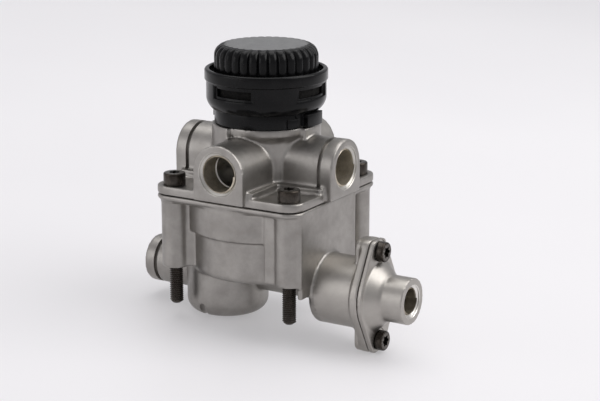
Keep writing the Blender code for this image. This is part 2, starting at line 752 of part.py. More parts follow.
def screw_shape(name, shank_r, head_r, head_low, head_high, end, group):
    """A cap screw along Z with a chamfered head and end."""
    return turned(name, [
        (0, head_high), (head_r - HEAD_CHAMFER, head_high), (head_r, head_high - HEAD_CHAMFER),
        (head_r, head_low), (shank_r, head_low), (shank_r, end + END_CHAMFER),
        (shank_r - END_CHAMFER, end), (0, end)], SMALL, group)


def socket(name, radius, low, high):
    """A hexagon hole, its radius across corners."""
    return slab(name, [arc((0, 0), radius, 0, 300, 5)], low, high)


def housing_bolts():
    low = POCKET_FLOOR_Z + GAP
    high = low + BOLT_HEAD_HEIGHT
    for index, (x, y) in enumerate(corners(BOLT_PLACE)):
        bolt = screw_shape(f"housing_bolt_{index + 1}", BOLT_R, BOLT_HEAD_R, low, high,
                           BOLT_END_Z, PARTS)
        placed(bolt, x, y)
        hole = socket(f"bolt_socket_{index}", BOLT_SOCKET_R, high - BOLT_SOCKET_DEPTH,
                      high + OVERCUT)
        cut(bolt, [placed(hole, x, y)])
        make_part(bolt, dark_steel(f"housing_bolt_{index + 1}"))


def cover_screws():
    low = COVER_FLANGE_X - SPOT_DEPTH + GAP
    high = low + SCREW_HEAD_HEIGHT
    for index, side in enumerate((1, -1)):
        place = (0, CROSS_Y, CROSS_Z + side * SCREW_PLACE)
        screw = screw_shape(f"cover_screw_{index + 1}", SCREW_R, SCREW_HEAD_R, low, high,
                            low - SCREW_LENGTH, PARTS)
        facing(screw, 0, place)
        hole = socket(f"screw_socket_{index}", SCREW_SOCKET_R, high - SCREW_SOCKET_DEPTH,
                      high + OVERCUT)
        cut(screw, [facing(hole, 0, place)])
        make_part(screw, dark_steel(f"cover_screw_{index + 1}"))


def relay_piston():
    """Skirted piston with the exhaust tube that meets the poppet's seal."""
    tube_top = SEAL_LOW_Z - EXHAUST_GAP
    under = PISTON_CROWN_Z - PISTON_CROWN_THICKNESS
    groove = PISTON_RING_WIRE_R + GAP
    profile = [
        (0, TUBE_BORE_LOW_Z), (TUBE_BORE_R, TUBE_BORE_LOW_Z), (TUBE_BORE_R, tube_top),
        (TUBE_R, tube_top), (TUBE_R, PISTON_CROWN_Z + TUBE_FILLET),
        (TUBE_R + TUBE_FILLET, PISTON_CROWN_Z),
        (PISTON_R, PISTON_CROWN_Z), (PISTON_R, PISTON_RING_Z + groove),
        (PISTON_GROOVE_R, PISTON_RING_Z + groove), (PISTON_GROOVE_R, PISTON_RING_Z - groove),
        (PISTON_R, PISTON_RING_Z - groove), (PISTON_R, PISTON_LOW_Z),
        (PISTON_SKIRT_R, PISTON_LOW_Z), (PISTON_SKIRT_R, under), (0, under)]
    piston = turned("relay_piston", profile, MIDDLE, PARTS)
    return make_part(piston, cast_aluminium("relay_piston"))


def poppet():
    """Hollow stem with a flat head above the inlet seat."""
    low = SEAL_LOW_Z + SEAL_THICKNESS + GAP
    high = low + HEAD_THICKNESS
    stem = turned("valve_poppet", [
        (STEM_BORE_R, STEM_TOP_Z), (STEM_R, STEM_TOP_Z), (STEM_R, high + STEM_FILLET),
        (STEM_R + STEM_FILLET, high), (HEAD_R, high), (HEAD_R, low), (STEM_BORE_R, low)],
        MIDDLE, PARTS)
    make_part(stem, cast_aluminium("valve_poppet"))
    high = SEAL_LOW_Z + SEAL_THICKNESS
    seal = turned("poppet_seal", [
        (STEM_BORE_R, high), (SEAL_R, high), (SEAL_R, SEAL_LOW_Z), (STEM_BORE_R, SEAL_LOW_Z)],
        MIDDLE, PARTS)
    make_part(seal, rubber("poppet_seal"))


def valve_guide():
    """Closes the tower, guides the stem and holds the spring's upper end."""
    under = GUIDE_TOP_Z - GUIDE_PLATE
    outer = GUIDE_RING_WIRE_R + GAP
    outer_z = (GUIDE_LOW_Z + GUIDE_TOP_Z) / 2
    inner = STEM_RING_WIRE_R + GAP
    inner_z = GUIDE_LOW_Z + STEM_RING_HEIGHT
    outer_floor = GUIDE_R - 2 * GUIDE_RING_WIRE_R - GAP
    inner_floor = GUIDE_BORE_R + 2 * STEM_RING_WIRE_R + GAP
    hub_r = GUIDE_HUB_R + GUIDE_HUB_WALL
    guide = turned("valve_guide", [
        (GUIDE_BORE_R, GUIDE_TOP_Z), (GUIDE_R - GUIDE_CHAMFER, GUIDE_TOP_Z),
        (GUIDE_R, GUIDE_TOP_Z - GUIDE_CHAMFER),
        (GUIDE_R, outer_z + outer), (outer_floor, outer_z + outer),
        (outer_floor, outer_z - outer), (GUIDE_R, outer_z - outer), (GUIDE_R, GUIDE_LOW_Z),
        (GUIDE_SKIRT_R, GUIDE_LOW_Z), (GUIDE_SKIRT_R, under), (hub_r, under),
        (hub_r, GUIDE_LOW_Z), (GUIDE_BORE_R, GUIDE_LOW_Z),
        (GUIDE_BORE_R, inner_z - inner), (inner_floor, inner_z - inner),
        (inner_floor, inner_z + inner), (GUIDE_BORE_R, inner_z + inner)], MIDDLE, PARTS)
    make_part(guide, cast_aluminium("valve_guide"))
    ring("guide_o_ring", GUIDE_R - GUIDE_RING_WIRE_R, outer_z, GUIDE_RING_WIRE_R,
         MIDDLE, rubber("guide_o_ring"))
    ring("stem_o_ring", GUIDE_BORE_R + STEM_RING_WIRE_R, inner_z, STEM_RING_WIRE_R,
         MIDDLE, rubber("stem_o_ring"))


def valve_spring():
    """A coil between the poppet's head and the guide."""
    low = SEAL_LOW_Z + SEAL_THICKNESS + HEAD_THICKNESS + 2 * GAP + SPRING_WIRE_R
    high = GUIDE_TOP_Z - GUIDE_PLATE - GAP - SPRING_WIRE_R
    curve = bpy.data.curves.new("valve_spring", "CURVE")
    curve.dimensions = "3D"
    curve.bevel_depth = SPRING_WIRE_R * MM
    curve.bevel_resolution = 1
    curve.use_fill_caps = True
    count = int(SPRING_TURNS * SPRING_STEPS) + 1
    spline = curve.splines.new("POLY")
    spline.points.add(count - 1)
    for index, point in enumerate(spline.points):
        share = index / (count - 1)
        angle = share * SPRING_TURNS * 2 * math.pi
        height = low + (high - low) * share
        point.co = (SPRING_R * math.cos(angle) * MM, SPRING_R * math.sin(angle) * MM,
                    height * MM, 1.0)
    guide = mesh_object("spring_path", curve, CUTTERS)
    graph = bpy.context.evaluated_depsgraph_get()
    mesh = bpy.data.meshes.new_from_object(guide.evaluated_get(graph))
    bpy.data.objects.remove(guide, do_unlink=True)
    shape = bmesh.new()
    shape.from_mesh(mesh)
    bmesh.ops.remove_doubles(shape, verts=shape.verts, dist=WELD)
    bmesh.ops.recalc_face_normals(shape, faces=shape.faces)
    shape.to_mesh(mesh)
    shape.free()
    mesh.name = "valve_spring"
    spring = mesh_object("valve_spring", mesh, PARTS)
    return make_part(spring, spring_steel("valve_spring"))


def retaining_ring():
    """An open ring in the tower's groove."""
    outline = sector(CLIP_INNER_R, CLIP_GROOVE_R - GAP, 90, 360 - CLIP_MOUTH, 24)
    clip = slab("retaining_ring", [outline], CLIP_GROOVE_LOW_Z + GAP, CLIP_GROOVE_HIGH_Z - GAP,
                PARTS)
    return make_part(clip, spring_steel("retaining_ring"))


def silencer_base():
    """Ring with a spigot into the tower, three ears and a key."""
    spigot_z = SILENCER_LOW_Z - BASE_SPIGOT_DEPTH
    base = turned("silencer_base", [
        (BASE_OPENING_R, BASE_TOP_Z), (BASE_R, BASE_TOP_Z), (BASE_R, SILENCER_LOW_Z),
        (BASE_SPIGOT_R, SILENCER_LOW_Z), (BASE_SPIGOT_R, spigot_z),
        (BASE_OPENING_R, spigot_z)], BIG, PARTS)
    low = SILENCER_LOW_Z + GAP
    ears = [slab("key", [sector(EAR_ROOT_R, KEY_R, KEY_AZIMUTH, KEY_WIDTH)], low, KEY_TOP_Z)]
    for index, azimuth in enumerate(EAR_AZIMUTHS):
        ears.append(slab(f"ear_{index}", [sector(EAR_ROOT_R, EAR_R, azimuth, EAR_WIDTH)],
                         low, BASE_TOP_Z - GAP))
    join(base, ears)
    return make_part(base, black_plastic("silencer_base"))


def silencer_body():
    """Windowed shell with the raised band that surrounds the cap's foot."""
    low = BASE_TOP_Z + GAP
    inner = SHELL_R - SHELL_WALL
    edge = [(BAND_R - BAND_EDGE + x, BAND_TOP_Z - BAND_EDGE + z)
            for x, z in arc((0, 0), BAND_EDGE, 90, 0, 3)]
    taper = []
    for step in range(TAPER_STEPS):
        share = step / TAPER_STEPS
        taper.append((SHELL_R - (SHELL_R - BODY_FOOT_R) * share ** 2,
                      SHELL_STRAIGHT_Z - (SHELL_STRAIGHT_Z - low) * share))
    body = turned("silencer_body", [(LEDGE_R, BAND_TOP_Z)] + edge + [
        (BAND_R, BAND_LOW_Z + BAND_FOOT), (SHELL_R, BAND_LOW_Z)] + taper + [
        (BODY_FOOT_R, low), (BASE_OPENING_R, low), (BASE_OPENING_R, low + SHELL_FLOOR),
        (inner, low + SHELL_FLOOR), (inner, LEDGE_Z), (LEDGE_R, LEDGE_Z)], BIG, PARTS)
    windows = []
    for index, azimuth in enumerate(WINDOW_AZIMUTHS):
        step = slab(f"window_step_{index}",
                    [sector(SHELL_R - WINDOW_STEP, SHELL_R + OVERCUT, azimuth, WINDOW_WIDTH, 5)],
                    WINDOW_LOW_Z, WINDOW_HIGH_Z)
        slot_width = WINDOW_WIDTH - 2 * math.degrees(WINDOW_FRAME / SHELL_R)
        slot = slab(f"window_slot_{index}",
                    [sector(inner - 1, SHELL_R + OVERCUT, azimuth, slot_width, 5)],
                    WINDOW_LOW_Z + WINDOW_FRAME, WINDOW_HIGH_Z - WINDOW_FRAME)
        windows += [step, slot]
    cut(body, windows)
    return make_part(body, black_plastic("silencer_body"))


def silencer_mesh():
    """The absorber pack behind the windows."""
    low = BASE_TOP_Z + GAP + SHELL_FLOOR + GAP
    high = LEDGE_Z - PACK_HEADROOM
    outer = SHELL_R - SHELL_WALL - GAP
    inner = outer - PACK_THICKNESS
    pack = turned("silencer_mesh", [(inner, high), (outer, high), (outer, low), (inner, low)],
                  MIDDLE, PARTS)
    return make_part(pack, dark_steel("silencer_mesh"))


def rib_radius(base, angle):
    """Radius at an angle on the ribbed side: round ribs with sharp valleys between."""
    pitch = 2 * math.pi / RIB_COUNT
    across = (angle % pitch) / pitch * 2 - 1
    return base - RIB_HEIGHT + RIB_HEIGHT * math.sqrt(max(0.0, 1 - across * across))


def silencer_cap():
    """A loft of scalloped rings from the ribbed side over the shoulder to the flat top."""
    foot_z = LEDGE_Z + GAP
    shoulder_z = CAP_TOP_Z - CAP_SHOULDER
    levels = [(CAP_R, foot_z + CAP_FOOT_THICKNESS / 2), (CAP_R, shoulder_z)]
    for degrees in (30, 60, 90):
        turn = math.radians(degrees)
        levels.append((CAP_TOP_R + (CAP_R - CAP_TOP_R) * math.cos(turn),
                       shoulder_z + CAP_SHOULDER * math.sin(turn)))
    samples = RIB_COUNT * RIB_SAMPLES
    shape = bmesh.new()
    rings = []
    for base, height in levels:
        row = []
        for index in range(samples):
            angle = 2 * math.pi * index / samples
            radius = rib_radius(base, angle)
            row.append(shape.verts.new((radius * math.cos(angle) * MM,
                                        radius * math.sin(angle) * MM, height * MM)))
        rings.append(row)
    for lower, upper in zip(rings, rings[1:]):
        for index in range(samples):
            after = (index + 1) % samples
            shape.faces.new((lower[index], lower[after], upper[after], upper[index]))
    shape.faces.new(rings[-1])
    shape.faces.new(list(reversed(rings[0])))
    mesh = bpy.data.meshes.new("silencer_cap")
    shape.to_mesh(mesh)
    shape.free()
    cap = mesh_object("silencer_cap", mesh, PARTS)
    foot = cylinder("cap_foot", CAP_FOOT_R, foot_z, foot_z + CAP_FOOT_THICKNESS, BIG)
    inner = CAP_R - RIB_HEIGHT - CAP_WALL
    hollow = turned("cap_hollow", [
        (0, CAP_TOP_Z - CAP_WALL), (CAP_TOP_R - CAP_WALL, CAP_TOP_Z - CAP_WALL),
        (inner, shoulder_z), (inner, foot_z - OVERCUT), (0, foot_z - OVERCUT)], BIG)
    join(cap, [foot])
    cut(cap, [hollow])
    return make_part(cap, black_plastic("silencer_cap"))


def main():
    upper_housing()
    lower_housing()
    check_valve_cover()
    check_shuttle()
    housing_bolts()
    cover_screws()
    relay_piston()
    poppet()
    valve_guide()
    valve_spring()
    retaining_ring()
    silencer_base()
    silencer_body()
    silencer_mesh()
    silencer_cap()
    ring("piston_o_ring", PISTON_R - PISTON_RING_WIRE_R, PISTON_RING_Z, PISTON_RING_WIRE_R,
         MIDDLE, rubber("piston_o_ring"))
    ring("housing_o_ring", (SEAL_GROOVE_INNER_R + SEAL_GROOVE_OUTER_R) / 2,
         PARTING_Z - GAP - SEAL_GROOVE_DEPTH / 2, HOUSING_RING_WIRE_R, BIG,
         rubber("housing_o_ring"))
    cover_ring = ring("check_cover_o_ring", CHECK_BORE_R - 2 * GAP - COVER_RING_WIRE_R,
                      (COVER_GROOVE_START_X + COVER_GROOVE_END_X) / 2, COVER_RING_WIRE_R,
                      MIDDLE, rubber("check_cover_o_ring"))
    facing(cover_ring, 0, (0, CROSS_Y, CROSS_Z))


main()
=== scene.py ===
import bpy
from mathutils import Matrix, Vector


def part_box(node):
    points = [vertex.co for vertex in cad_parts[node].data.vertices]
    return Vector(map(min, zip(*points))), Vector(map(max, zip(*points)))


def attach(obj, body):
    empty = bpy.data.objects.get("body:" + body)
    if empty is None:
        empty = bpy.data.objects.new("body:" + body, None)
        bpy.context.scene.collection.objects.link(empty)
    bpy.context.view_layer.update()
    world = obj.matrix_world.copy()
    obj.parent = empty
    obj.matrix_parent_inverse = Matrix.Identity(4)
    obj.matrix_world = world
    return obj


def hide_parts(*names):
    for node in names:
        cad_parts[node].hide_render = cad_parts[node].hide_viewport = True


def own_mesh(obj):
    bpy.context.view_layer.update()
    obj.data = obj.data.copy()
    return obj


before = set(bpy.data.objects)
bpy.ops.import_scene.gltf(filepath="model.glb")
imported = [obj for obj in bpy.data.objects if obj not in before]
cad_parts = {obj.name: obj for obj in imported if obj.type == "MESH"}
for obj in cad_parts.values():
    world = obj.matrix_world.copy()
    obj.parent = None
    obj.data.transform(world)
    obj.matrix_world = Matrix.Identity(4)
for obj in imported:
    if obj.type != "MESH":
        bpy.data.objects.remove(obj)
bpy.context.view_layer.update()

import math

import bpy
import bmesh
from mathutils import Quaternion, Vector

# Sizes are in millimetres in the frame of the part, origin on the main axis
MM = 0.001
# Steps round a circle
FINE = 96
ROUND = 64
COARSE = 40

# Steps along arcs
ARCH_STEPS = 40
CORNER_STEPS = 10
WAIST_STEPS = 20
SECTOR_STEPS = 16
GROOVE_STEPS = 48
QUARTER_STEPS = 12
EDGE_STEPS = 6
THREAD_STEPS = 48

# Cutters reach past what they cut, joined shapes reach into each other, pieces keep air
OVERCUT = 2.0
ROOT = 1.0
GAP = 0.3

# Edges flatter than the first angle are shaded smooth. Sharper ones than the second are
# rounded on the base and the shell of the silencer
SMOOTH_ANGLE = 35.0
BEVEL_ANGLE = 40.0

# Points closer than this many metres are joined
WELD = 0.00001

# Casting skin: cell of the remesh and how far edges are eased
CELL = 0.75
EASING = 7
COVER_CELL = 0.5
COVER_EASING = 5
EASE_FACTOR = 0.5


def limits(node):
    """A CAD node's lowest and highest corner in millimetres."""
    low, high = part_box(node)
    return [v / MM for v in low], [v / MM for v in high]


UPPER_LOW, UPPER_HIGH = limits("upper_housing")
LOWER_LOW, LOWER_HIGH = limits("lower_housing")
COVER_LOW, COVER_HIGH = limits("check_valve_cover")
BOLT_LOW, BOLT_HIGH = limits("housing_bolt_1")
SCREW_LOW, SCREW_HIGH = limits("cover_screw_1")
CAP_LOW, CAP_HIGH = limits("silencer_cap")
SHELL_LOW, SHELL_HIGH = limits("silencer_body")
BASE_LOW, BASE_HIGH = limits("silencer_base")

# Housings
PARTING_Z = UPPER_LOW[2]
RIM_TOP_Z = LOWER_HIGH[2]
TOWER_TOP_Z = UPPER_HIGH[2]
DELIVERY_FACE = UPPER_HIGH[0]
SUPPLY_FACE = UPPER_HIGH[1]
PLATE_HALF = LOWER_HIGH[1]
PLATE_CORNER = 10.0
PLATE_TOP_Z = PARTING_Z + 5.0
POCKET_FLOOR_Z = PARTING_Z + 4.3
POCKET_INNER = 20.0
POCKET_CORNER = 6.0
FOOT_HALF_WIDTH = 20.3
FOOT_REACH = 48.5
FOOT_TOP_Z = 52.9
FOOT_CORNER = 1.5
FOOT_STAGGER = 0.05
RIM_WIDTH = 3.0
RIM_EDGE_Z = 41.6
RIM_LOW_Z = 39.9
RIM_UNDERCUT = 1.6
TOWER_R = 26.5
BEAD_R = 29.5
BEAD_LOW_Z = 78.5
BEAD_EDGE = 1.5
BEAD_SLOPE = 2.6
POST_R = 32.0
POST_WIDTH = 50.0
POST_AZIMUTHS = (10.0, 121.0, 232.0)
CHAMBER_R = 22.0
CHAMBER_FLOOR_Z = 57.0
INLET_R = 11.0
INLET_LIP_R = 12.6
INLET_SEAT_Z = 59.0
INLET_LIP_SLOPE = 1.0

# Where joined shapes start over the parting plane, all apart so that no faces coincide
TOWER_START = 0.3
FOOT_Y_START = 0.6
FOOT_X_START = 0.7
BOSS_START = 0.9
POST_START = 1.2

# Ports
PORT_Z = 62.2
PORT_BOSS_R = 16.7
PORT_BORE_R = 10.2
PORT_ROOT_R = 11.0
PORT_PITCH = 1.5
PORT_SINK_R = 12.4
PORT_THREAD_DEPTH = 14.0
SINK_STEP = 0.8
SINK_CHAMFER = 0.4
SINK_SLOPE = 0.6
THREAD_START = 1.6
THREAD_RUNOUT = 0.6
CREST_SHARE = 0.10
PORT_FACES = ((-90, SUPPLY_FACE), (90, SUPPLY_FACE), (0, DELIVERY_FACE), (180, DELIVERY_FACE))
COLLAR_LENGTH = 7.35
GROOVE_WIDTH = 2.6
GROOVE_DEPTH = 2.0
SUPPLY_END = 18.0
DELIVERY_END = 30.0
PASSAGE_R = 7.5
PASSAGE_PLACE = 33.0

# Bolts
BOLT_PLACE = 39.0
BOLT_R = 4.0
BOLT_HOLE_R = BOLT_R + GAP
BOLT_PITCH = 1.25
BOLT_HEAD_R = 6.5
BOLT_SEAT_Z = POCKET_FLOOR_Z + GAP
BOLT_SOCKET_R = 3.4
BOLT_DRIVE_DEPTH = 4.0
BOLT_THREAD_TOP_Z = 2.0
BOLT_ROOT_SHARE = 0.85
BOLT_POINT = 1.0
BOLT_RUNOUT = 0.6
HEAD_EASE_SHARE = 0.16
HEAD_CHAMFER = 0.3
RIDGE_SINK = 0.1
RIDGE_START = 0.6
RIDGE_SPARE = 2.0
DRIVE_LOBES = 6
DRIVE_SHARE = 0.72
DRIVE_STEPS = 48

# Lower housing
CHAMBER_BORE_R = 41.0
CHAMBER_BORE_FLOOR_Z = 8.0
BULGE_R = 48.3
BODY_R = 45.0
BODY_STEP_Z = 21.5
BODY_STEP_HEIGHT = 1.0
BODY_LOW_Z = -3.4
BODY_EDGE = 3.0
BODY_EDGE_MIDDLE = 1.0
WEB_START = 40.0
WEB_END = 54.0
WEB_HALF_WIDTH = 6.5
WEB_CORNER = 0.5
PILLAR_R = 8.0
SEAL_INNER_R = 42.0
SEAL_OUTER_R = 45.0
SEAL_DEPTH = 2.2
CROSS_Y = -11.0
CROSS_Z = -7.0
CROSS = (0, CROSS_Y, CROSS_Z)
WALL_X = 49.0
WALL_HALF = 32.0
WALL_LOW_Z = -7.4
WALL_THICKNESS = 3.5
WALL_DEPTH = 25.0
WALL_CORNER = 1.5
SKIRT_TOP_Z = 5.0
SKIRT_INSET = 1.5
SKIRT_CORNER = 1.0
SMOOTH_START_X = WALL_X + 2.0

# Where joined shapes end under the rim's top, all apart so that no faces coincide
BULGE_END = 1.0
PILLAR_END = 1.3
RIM_END = 1.6
WEB_END_DROP = 1.9
WALL_END = 2.2

# Gallery, check valve and control ports
GALLERY_R = 6.0
BEAM_R = 8.5
BOSS_R = 20.5
BOSS_START_X = 47.0
FLANGE_FACE_X = LOWER_HIGH[0]
FLANGE_BACK_X = FLANGE_FACE_X - 4.8
FLANGE_WAIST_R = 21.5
LOBE_HALF_WIDTH = 8.0
LOBE_END = 33.3
LOBE_CORNER = 4.5
LOBE_BACK_X = 70.0
LOBE_BACK_INSET = 0.2
SCREW_PLACE = 26.4
CHECK_BORE_R = 13.0
CHECK_FLOOR_X = FLANGE_FACE_X - 22.8
COVER_FLANGE_X = 82.2
COVER_WAIST_R = 20.5
NOSE_START_X = 89.2
NOSE_FOOT_RISE = 0.8
NOSE_FOOT = 0.7
NOSE_R = 13.5
NOSE_FACE_X = COVER_HIGH[0]
CONTROL_BORE_R = 7.2
CONTROL_ROOT_R = 8.0
CONTROL_THREAD_DEPTH = 12.5
CONTROL_SINK_R = 9.4
CONTROL_DEPTH = 14.0
LEFT_FACE = -LOWER_LOW[0]
LEFT_R = 14.3
LEFT_COLLAR = 6.5
LEFT_START = 40.0
GALLERY_END_X = 5.0 - LEFT_FACE

# Bowl
BOWL_X = -21.0
BOWL_R = 24.4
BOWL_LOW_Z = -31.1
BOWL_EDGE = 8.0
BOWL_ROOT = 5.0
BOWL_RECESS_R = 14.5
BOWL_RECESS_TOP_Z = -19.0
NOTCH_WIDTH = 4.4
NOTCH_HEIGHT = 8.6
NOTCH_SHIFT = 2.5
NOTCH_ROOT = 3.0

# Cover screws
SCREW_R = 3.0
SCREW_HEAD_R = 5.85
SCREW_PITCH = 1.0
SCREW_SEAT_X = COVER_FLANGE_X - 0.2
SCREW_SHANK = 3.0
SCREW_SOCKET_R = 3.4
SCREW_DRIVE_DEPTH = 2.4
SPOT_R = 7.1
SPOT_DEPTH = 0.5
SPOT_REACH = 3.0

# Silencer
BASE_R = 30.5
BASE_LOW_Z = 84.6
BASE_TOP_Z = BASE_HIGH[2]
BASE_OPENING_R = 16.0
BASE_SPIGOT_R = 21.5
EAR_AZIMUTHS = (0.0, 88.0, 176.0)
EAR_R = 34.0
EAR_WIDTH = 28.0
KEY_AZIMUTH = -29.0
KEY_WIDTH = 13.0
KEY_R = 31.8
KEY_TOP_Z = 90.0
BASE_EASE = 0.4
SHELL_EASE = 0.25
SHELL_EASE_STEPS = 2
SHELL_LOW_Z = SHELL_LOW[2]
SHELL_TOP_Z = SHELL_HIGH[2]
SHELL_FOOT_R = 32.2
SHELL_R = 35.1
SHELL_STRAIGHT_Z = 99.4
BAND_R = SHELL_HIGH[0]
BAND_LOW_Z = 109.1
BAND_EDGE = 1.4
BAND_FOOT_HIGH = 0.6
BAND_FOOT_LOW = 0.2
BAND_FOOT_IN = 0.4
TAPER_STEPS = 9
SHELL_FLOOR = 2.2
SHELL_INNER_R = 32.0
LEDGE_Z = 110.0
LEDGE_R = 33.2
LEDGE_CHAMFER = 0.4
WINDOW_AZIMUTHS = (-94.0, -4.0, 86.0, 176.0)
WINDOW_WIDTH = 47.0
WINDOW_LOW_Z = 101.0
WINDOW_HIGH_Z = 108.3
WINDOW_STEP = 1.2
WINDOW_FRAME = 1.4
WINDOW_SIDES = 5.0
WINDOW_REACH = 3.0
CAP_R = 30.4
CAP_FOOT_R = 32.7
CAP_FOOT_Z = CAP_LOW[2]
CAP_TOP_Z = CAP_HIGH[2]
CAP_TOP_R = 23.7
CAP_TOP_EDGE = 1.8
CAP_FLAT = 0.1
CAP_FOOT_HEIGHT = 1.5
CAP_FOOT_LAP = 0.8
CAP_INNER_R = 26.5
CAP_SHOULDER = 7.0
RIB_COUNT = 32
RIB_SAMPLES = 14
RIB_DEPTH = 1.7
RIB_SHAPE = 2.6

# Spring of the poppet
SPRING_LOW, SPRING_HIGH = limits("valve_spring")
SPRING_R = 13.4
SPRING_WIRE_R = 0.9
SPRING_TURNS = 3.5
SPRING_STEPS = 48
WIRE_STEPS = 3

# Camera, solved from the photograph
CAMERA_PLACE = (514.8, -821.7, 291.0)
CAMERA_AZIMUTH = 30.91
CAMERA_ELEVATION = 14.76
CAMERA_LENS = 101.45
CAMERA_SENSOR = 36.0
CLIP_NEAR = 0.05
CLIP_FAR = 20.0

# Studio, in metres
FLOOR_FRONT = -3.0
FLOOR_BACK = 1.5
FLOOR_HALF_WIDTH = 4.0
SWEEP_R = 0.8
SWEEP_TOP = 3.0
FLOOR_COLOURS = ((0.44, 0.432, 0.448), (0.46, 0.452, 0.466))
FLOOR_ROUGH = (0.42, 0.50)
FLOOR_GLOW = 0.34
FLOOR_GLOW_TINT = (1.0, 0.985, 1.0, 1.0)
WORLD_TINT = (0.92, 0.92, 0.95, 1.0)
WORLD_STRENGTH = 0.50
LAMP_TARGET = (0.01, 0.0, 0.03)

# How far the floor stays under the bowl, and under the lobe on the right
FLOOR_DROP = 0.2
FLOOR_DROP_RIGHT = 0.3

# Finishes: places of the ramps' stops and the heights of the bumps in metres
PATCH_STOPS = (0.35, 0.65)
FINE_STOPS = (0.3, 0.7)
WEAR_SPREAD = 0.06
SCUFF_RATIO = 6
SCUFF_STOPS = (0.2, 0.8)
SCUFF_LIFT = 1.15
COARSE_SHARE = 0.4
COARSE_HEIGHT = 0.0004
GRAIN_HEIGHT = 0.0001
RING_SCALE = 700.0
RING_DISTORTION = 0.8
RING_DETAIL = 2.0
RING_PATCH = 180.0
RING_ROUGH_SPREAD = 0.12
RING_STRENGTH = 0.12
RING_HEIGHT = 0.00008


def link(tree, source, output, target, slot):
    tree.links.new(source.outputs[output], target.inputs[slot])


def node(tree, kind, **values):
    made = tree.nodes.new(kind)
    for name, value in values.items():
        setattr(made, name, value)
    return made


def noise(tree, coords, scale, detail=4.0, rough=0.6):
    made = node(tree, "ShaderNodeTexNoise")
    made.inputs["Scale"].default_value = scale
    made.inputs["Detail"].default_value = detail
    made.inputs["Roughness"].default_value = rough
    link(tree, coords, "Object", made, "Vector")
    return made


def ramp(tree, source, output, places, values):
    """A colour ramp with a grey or a colour at each place."""
    made = node(tree, "ShaderNodeValToRGB")
    for point, place, value in zip(made.color_ramp.elements, places, values):
        point.position = place
        point.color = (*value, 1.0) if isinstance(value, tuple) else (value, value, value, 1.0)
    link(tree, source, output, made, "Fac")
    return made


def mixed(tree, factor, first, second):
    """Two nodes' colours mixed by a third node's value. It gives the mixed colour's socket."""
    made = node(tree, "ShaderNodeMix", data_type="RGBA")
    link(tree, factor, "Value", made, "Factor")
    tree.links.new(first.outputs["Color"], made.inputs[6])
    tree.links.new(second.outputs["Color"], made.inputs[7])
    return made.outputs[2]


def bump(tree, height, output, strength, distance, before=None):
    made = node(tree, "ShaderNodeBump")
    made.inputs["Strength"].default_value = strength
    made.inputs["Distance"].default_value = distance
    link(tree, height, output, made, "Height")
    if before:
        link(tree, before, "Normal", made, "Normal")
    return made


def surface(name, metallic, colours, patch, rough, grain, strength, wear=None, wear_from=0.53,
            specular=0.5):
    """One finish: patchy colour, fine roughness, a fine grain and worn edges."""
    made = bpy.data.materials.new(name)
    made.use_nodes = True
    tree = made.node_tree
    shader = tree.nodes["Principled BSDF"]
    shader.inputs["Metallic"].default_value = metallic
    shader.inputs["Specular IOR Level"].default_value = specular
    coords = node(tree, "ShaderNodeTexCoord")
    broad = noise(tree, coords, patch)
    colour = ramp(tree, broad, "Fac", PATCH_STOPS, colours)
    base = colour.outputs["Color"]
    if wear:
        shape = node(tree, "ShaderNodeNewGeometry")
        edge = ramp(tree, shape, "Pointiness", (wear_from, wear_from + WEAR_SPREAD), (0.0, 1.0))
        scuff = noise(tree, coords, patch * SCUFF_RATIO, rough=0.7)
        rub = node(tree, "ShaderNodeMath", operation="MULTIPLY")
        link(tree, edge, "Color", rub, 0)
        link(tree, scuff, "Fac", rub, 1)
        lifted = tuple(SCUFF_LIFT * v for v in wear)
        bright = ramp(tree, scuff, "Fac", SCUFF_STOPS, (wear, lifted))
        base = mixed(tree, rub, colour, bright)
    tree.links.new(base, shader.inputs["Base Color"])
    fine = noise(tree, coords, grain, detail=3.0)
    gloss = ramp(tree, fine, "Fac", FINE_STOPS, rough)
    link(tree, gloss, "Color", shader, "Roughness")
    coarse = bump(tree, broad, "Fac", strength * COARSE_SHARE, COARSE_HEIGHT)
    pitted = bump(tree, fine, "Fac", strength, GRAIN_HEIGHT, coarse)
    link(tree, pitted, "Normal", shader, "Normal")
    return made


def turned_metal(name, axis, centre, colours, rough):
    """A machined face with fine rings about an axis."""
    made = bpy.data.materials.new(name)
    made.use_nodes = True
    tree = made.node_tree
    shader = tree.nodes["Principled BSDF"]
    shader.inputs["Metallic"].default_value = 1.0
    coords = node(tree, "ShaderNodeTexCoord")
    shift = node(tree, "ShaderNodeMapping")
    shift.inputs["Location"].default_value = [-v * MM for v in centre]
    link(tree, coords, "Object", shift, "Vector")
    rings = node(tree, "ShaderNodeTexWave", wave_type="RINGS", rings_direction=axis)
    rings.inputs["Scale"].default_value = RING_SCALE
    rings.inputs["Distortion"].default_value = RING_DISTORTION
    rings.inputs["Detail"].default_value = RING_DETAIL
    link(tree, shift, "Vector", rings, "Vector")
    patch = noise(tree, coords, RING_PATCH)
    colour = ramp(tree, patch, "Fac", FINE_STOPS, colours)
    link(tree, colour, "Color", shader, "Base Color")
    gloss = ramp(tree, patch, "Fac", FINE_STOPS, (rough, rough + RING_ROUGH_SPREAD))
    link(tree, gloss, "Color", shader, "Roughness")
    lines = bump(tree, rings, "Fac", RING_STRENGTH, RING_HEIGHT)
    link(tree, lines, "Normal", shader, "Normal")
    return made


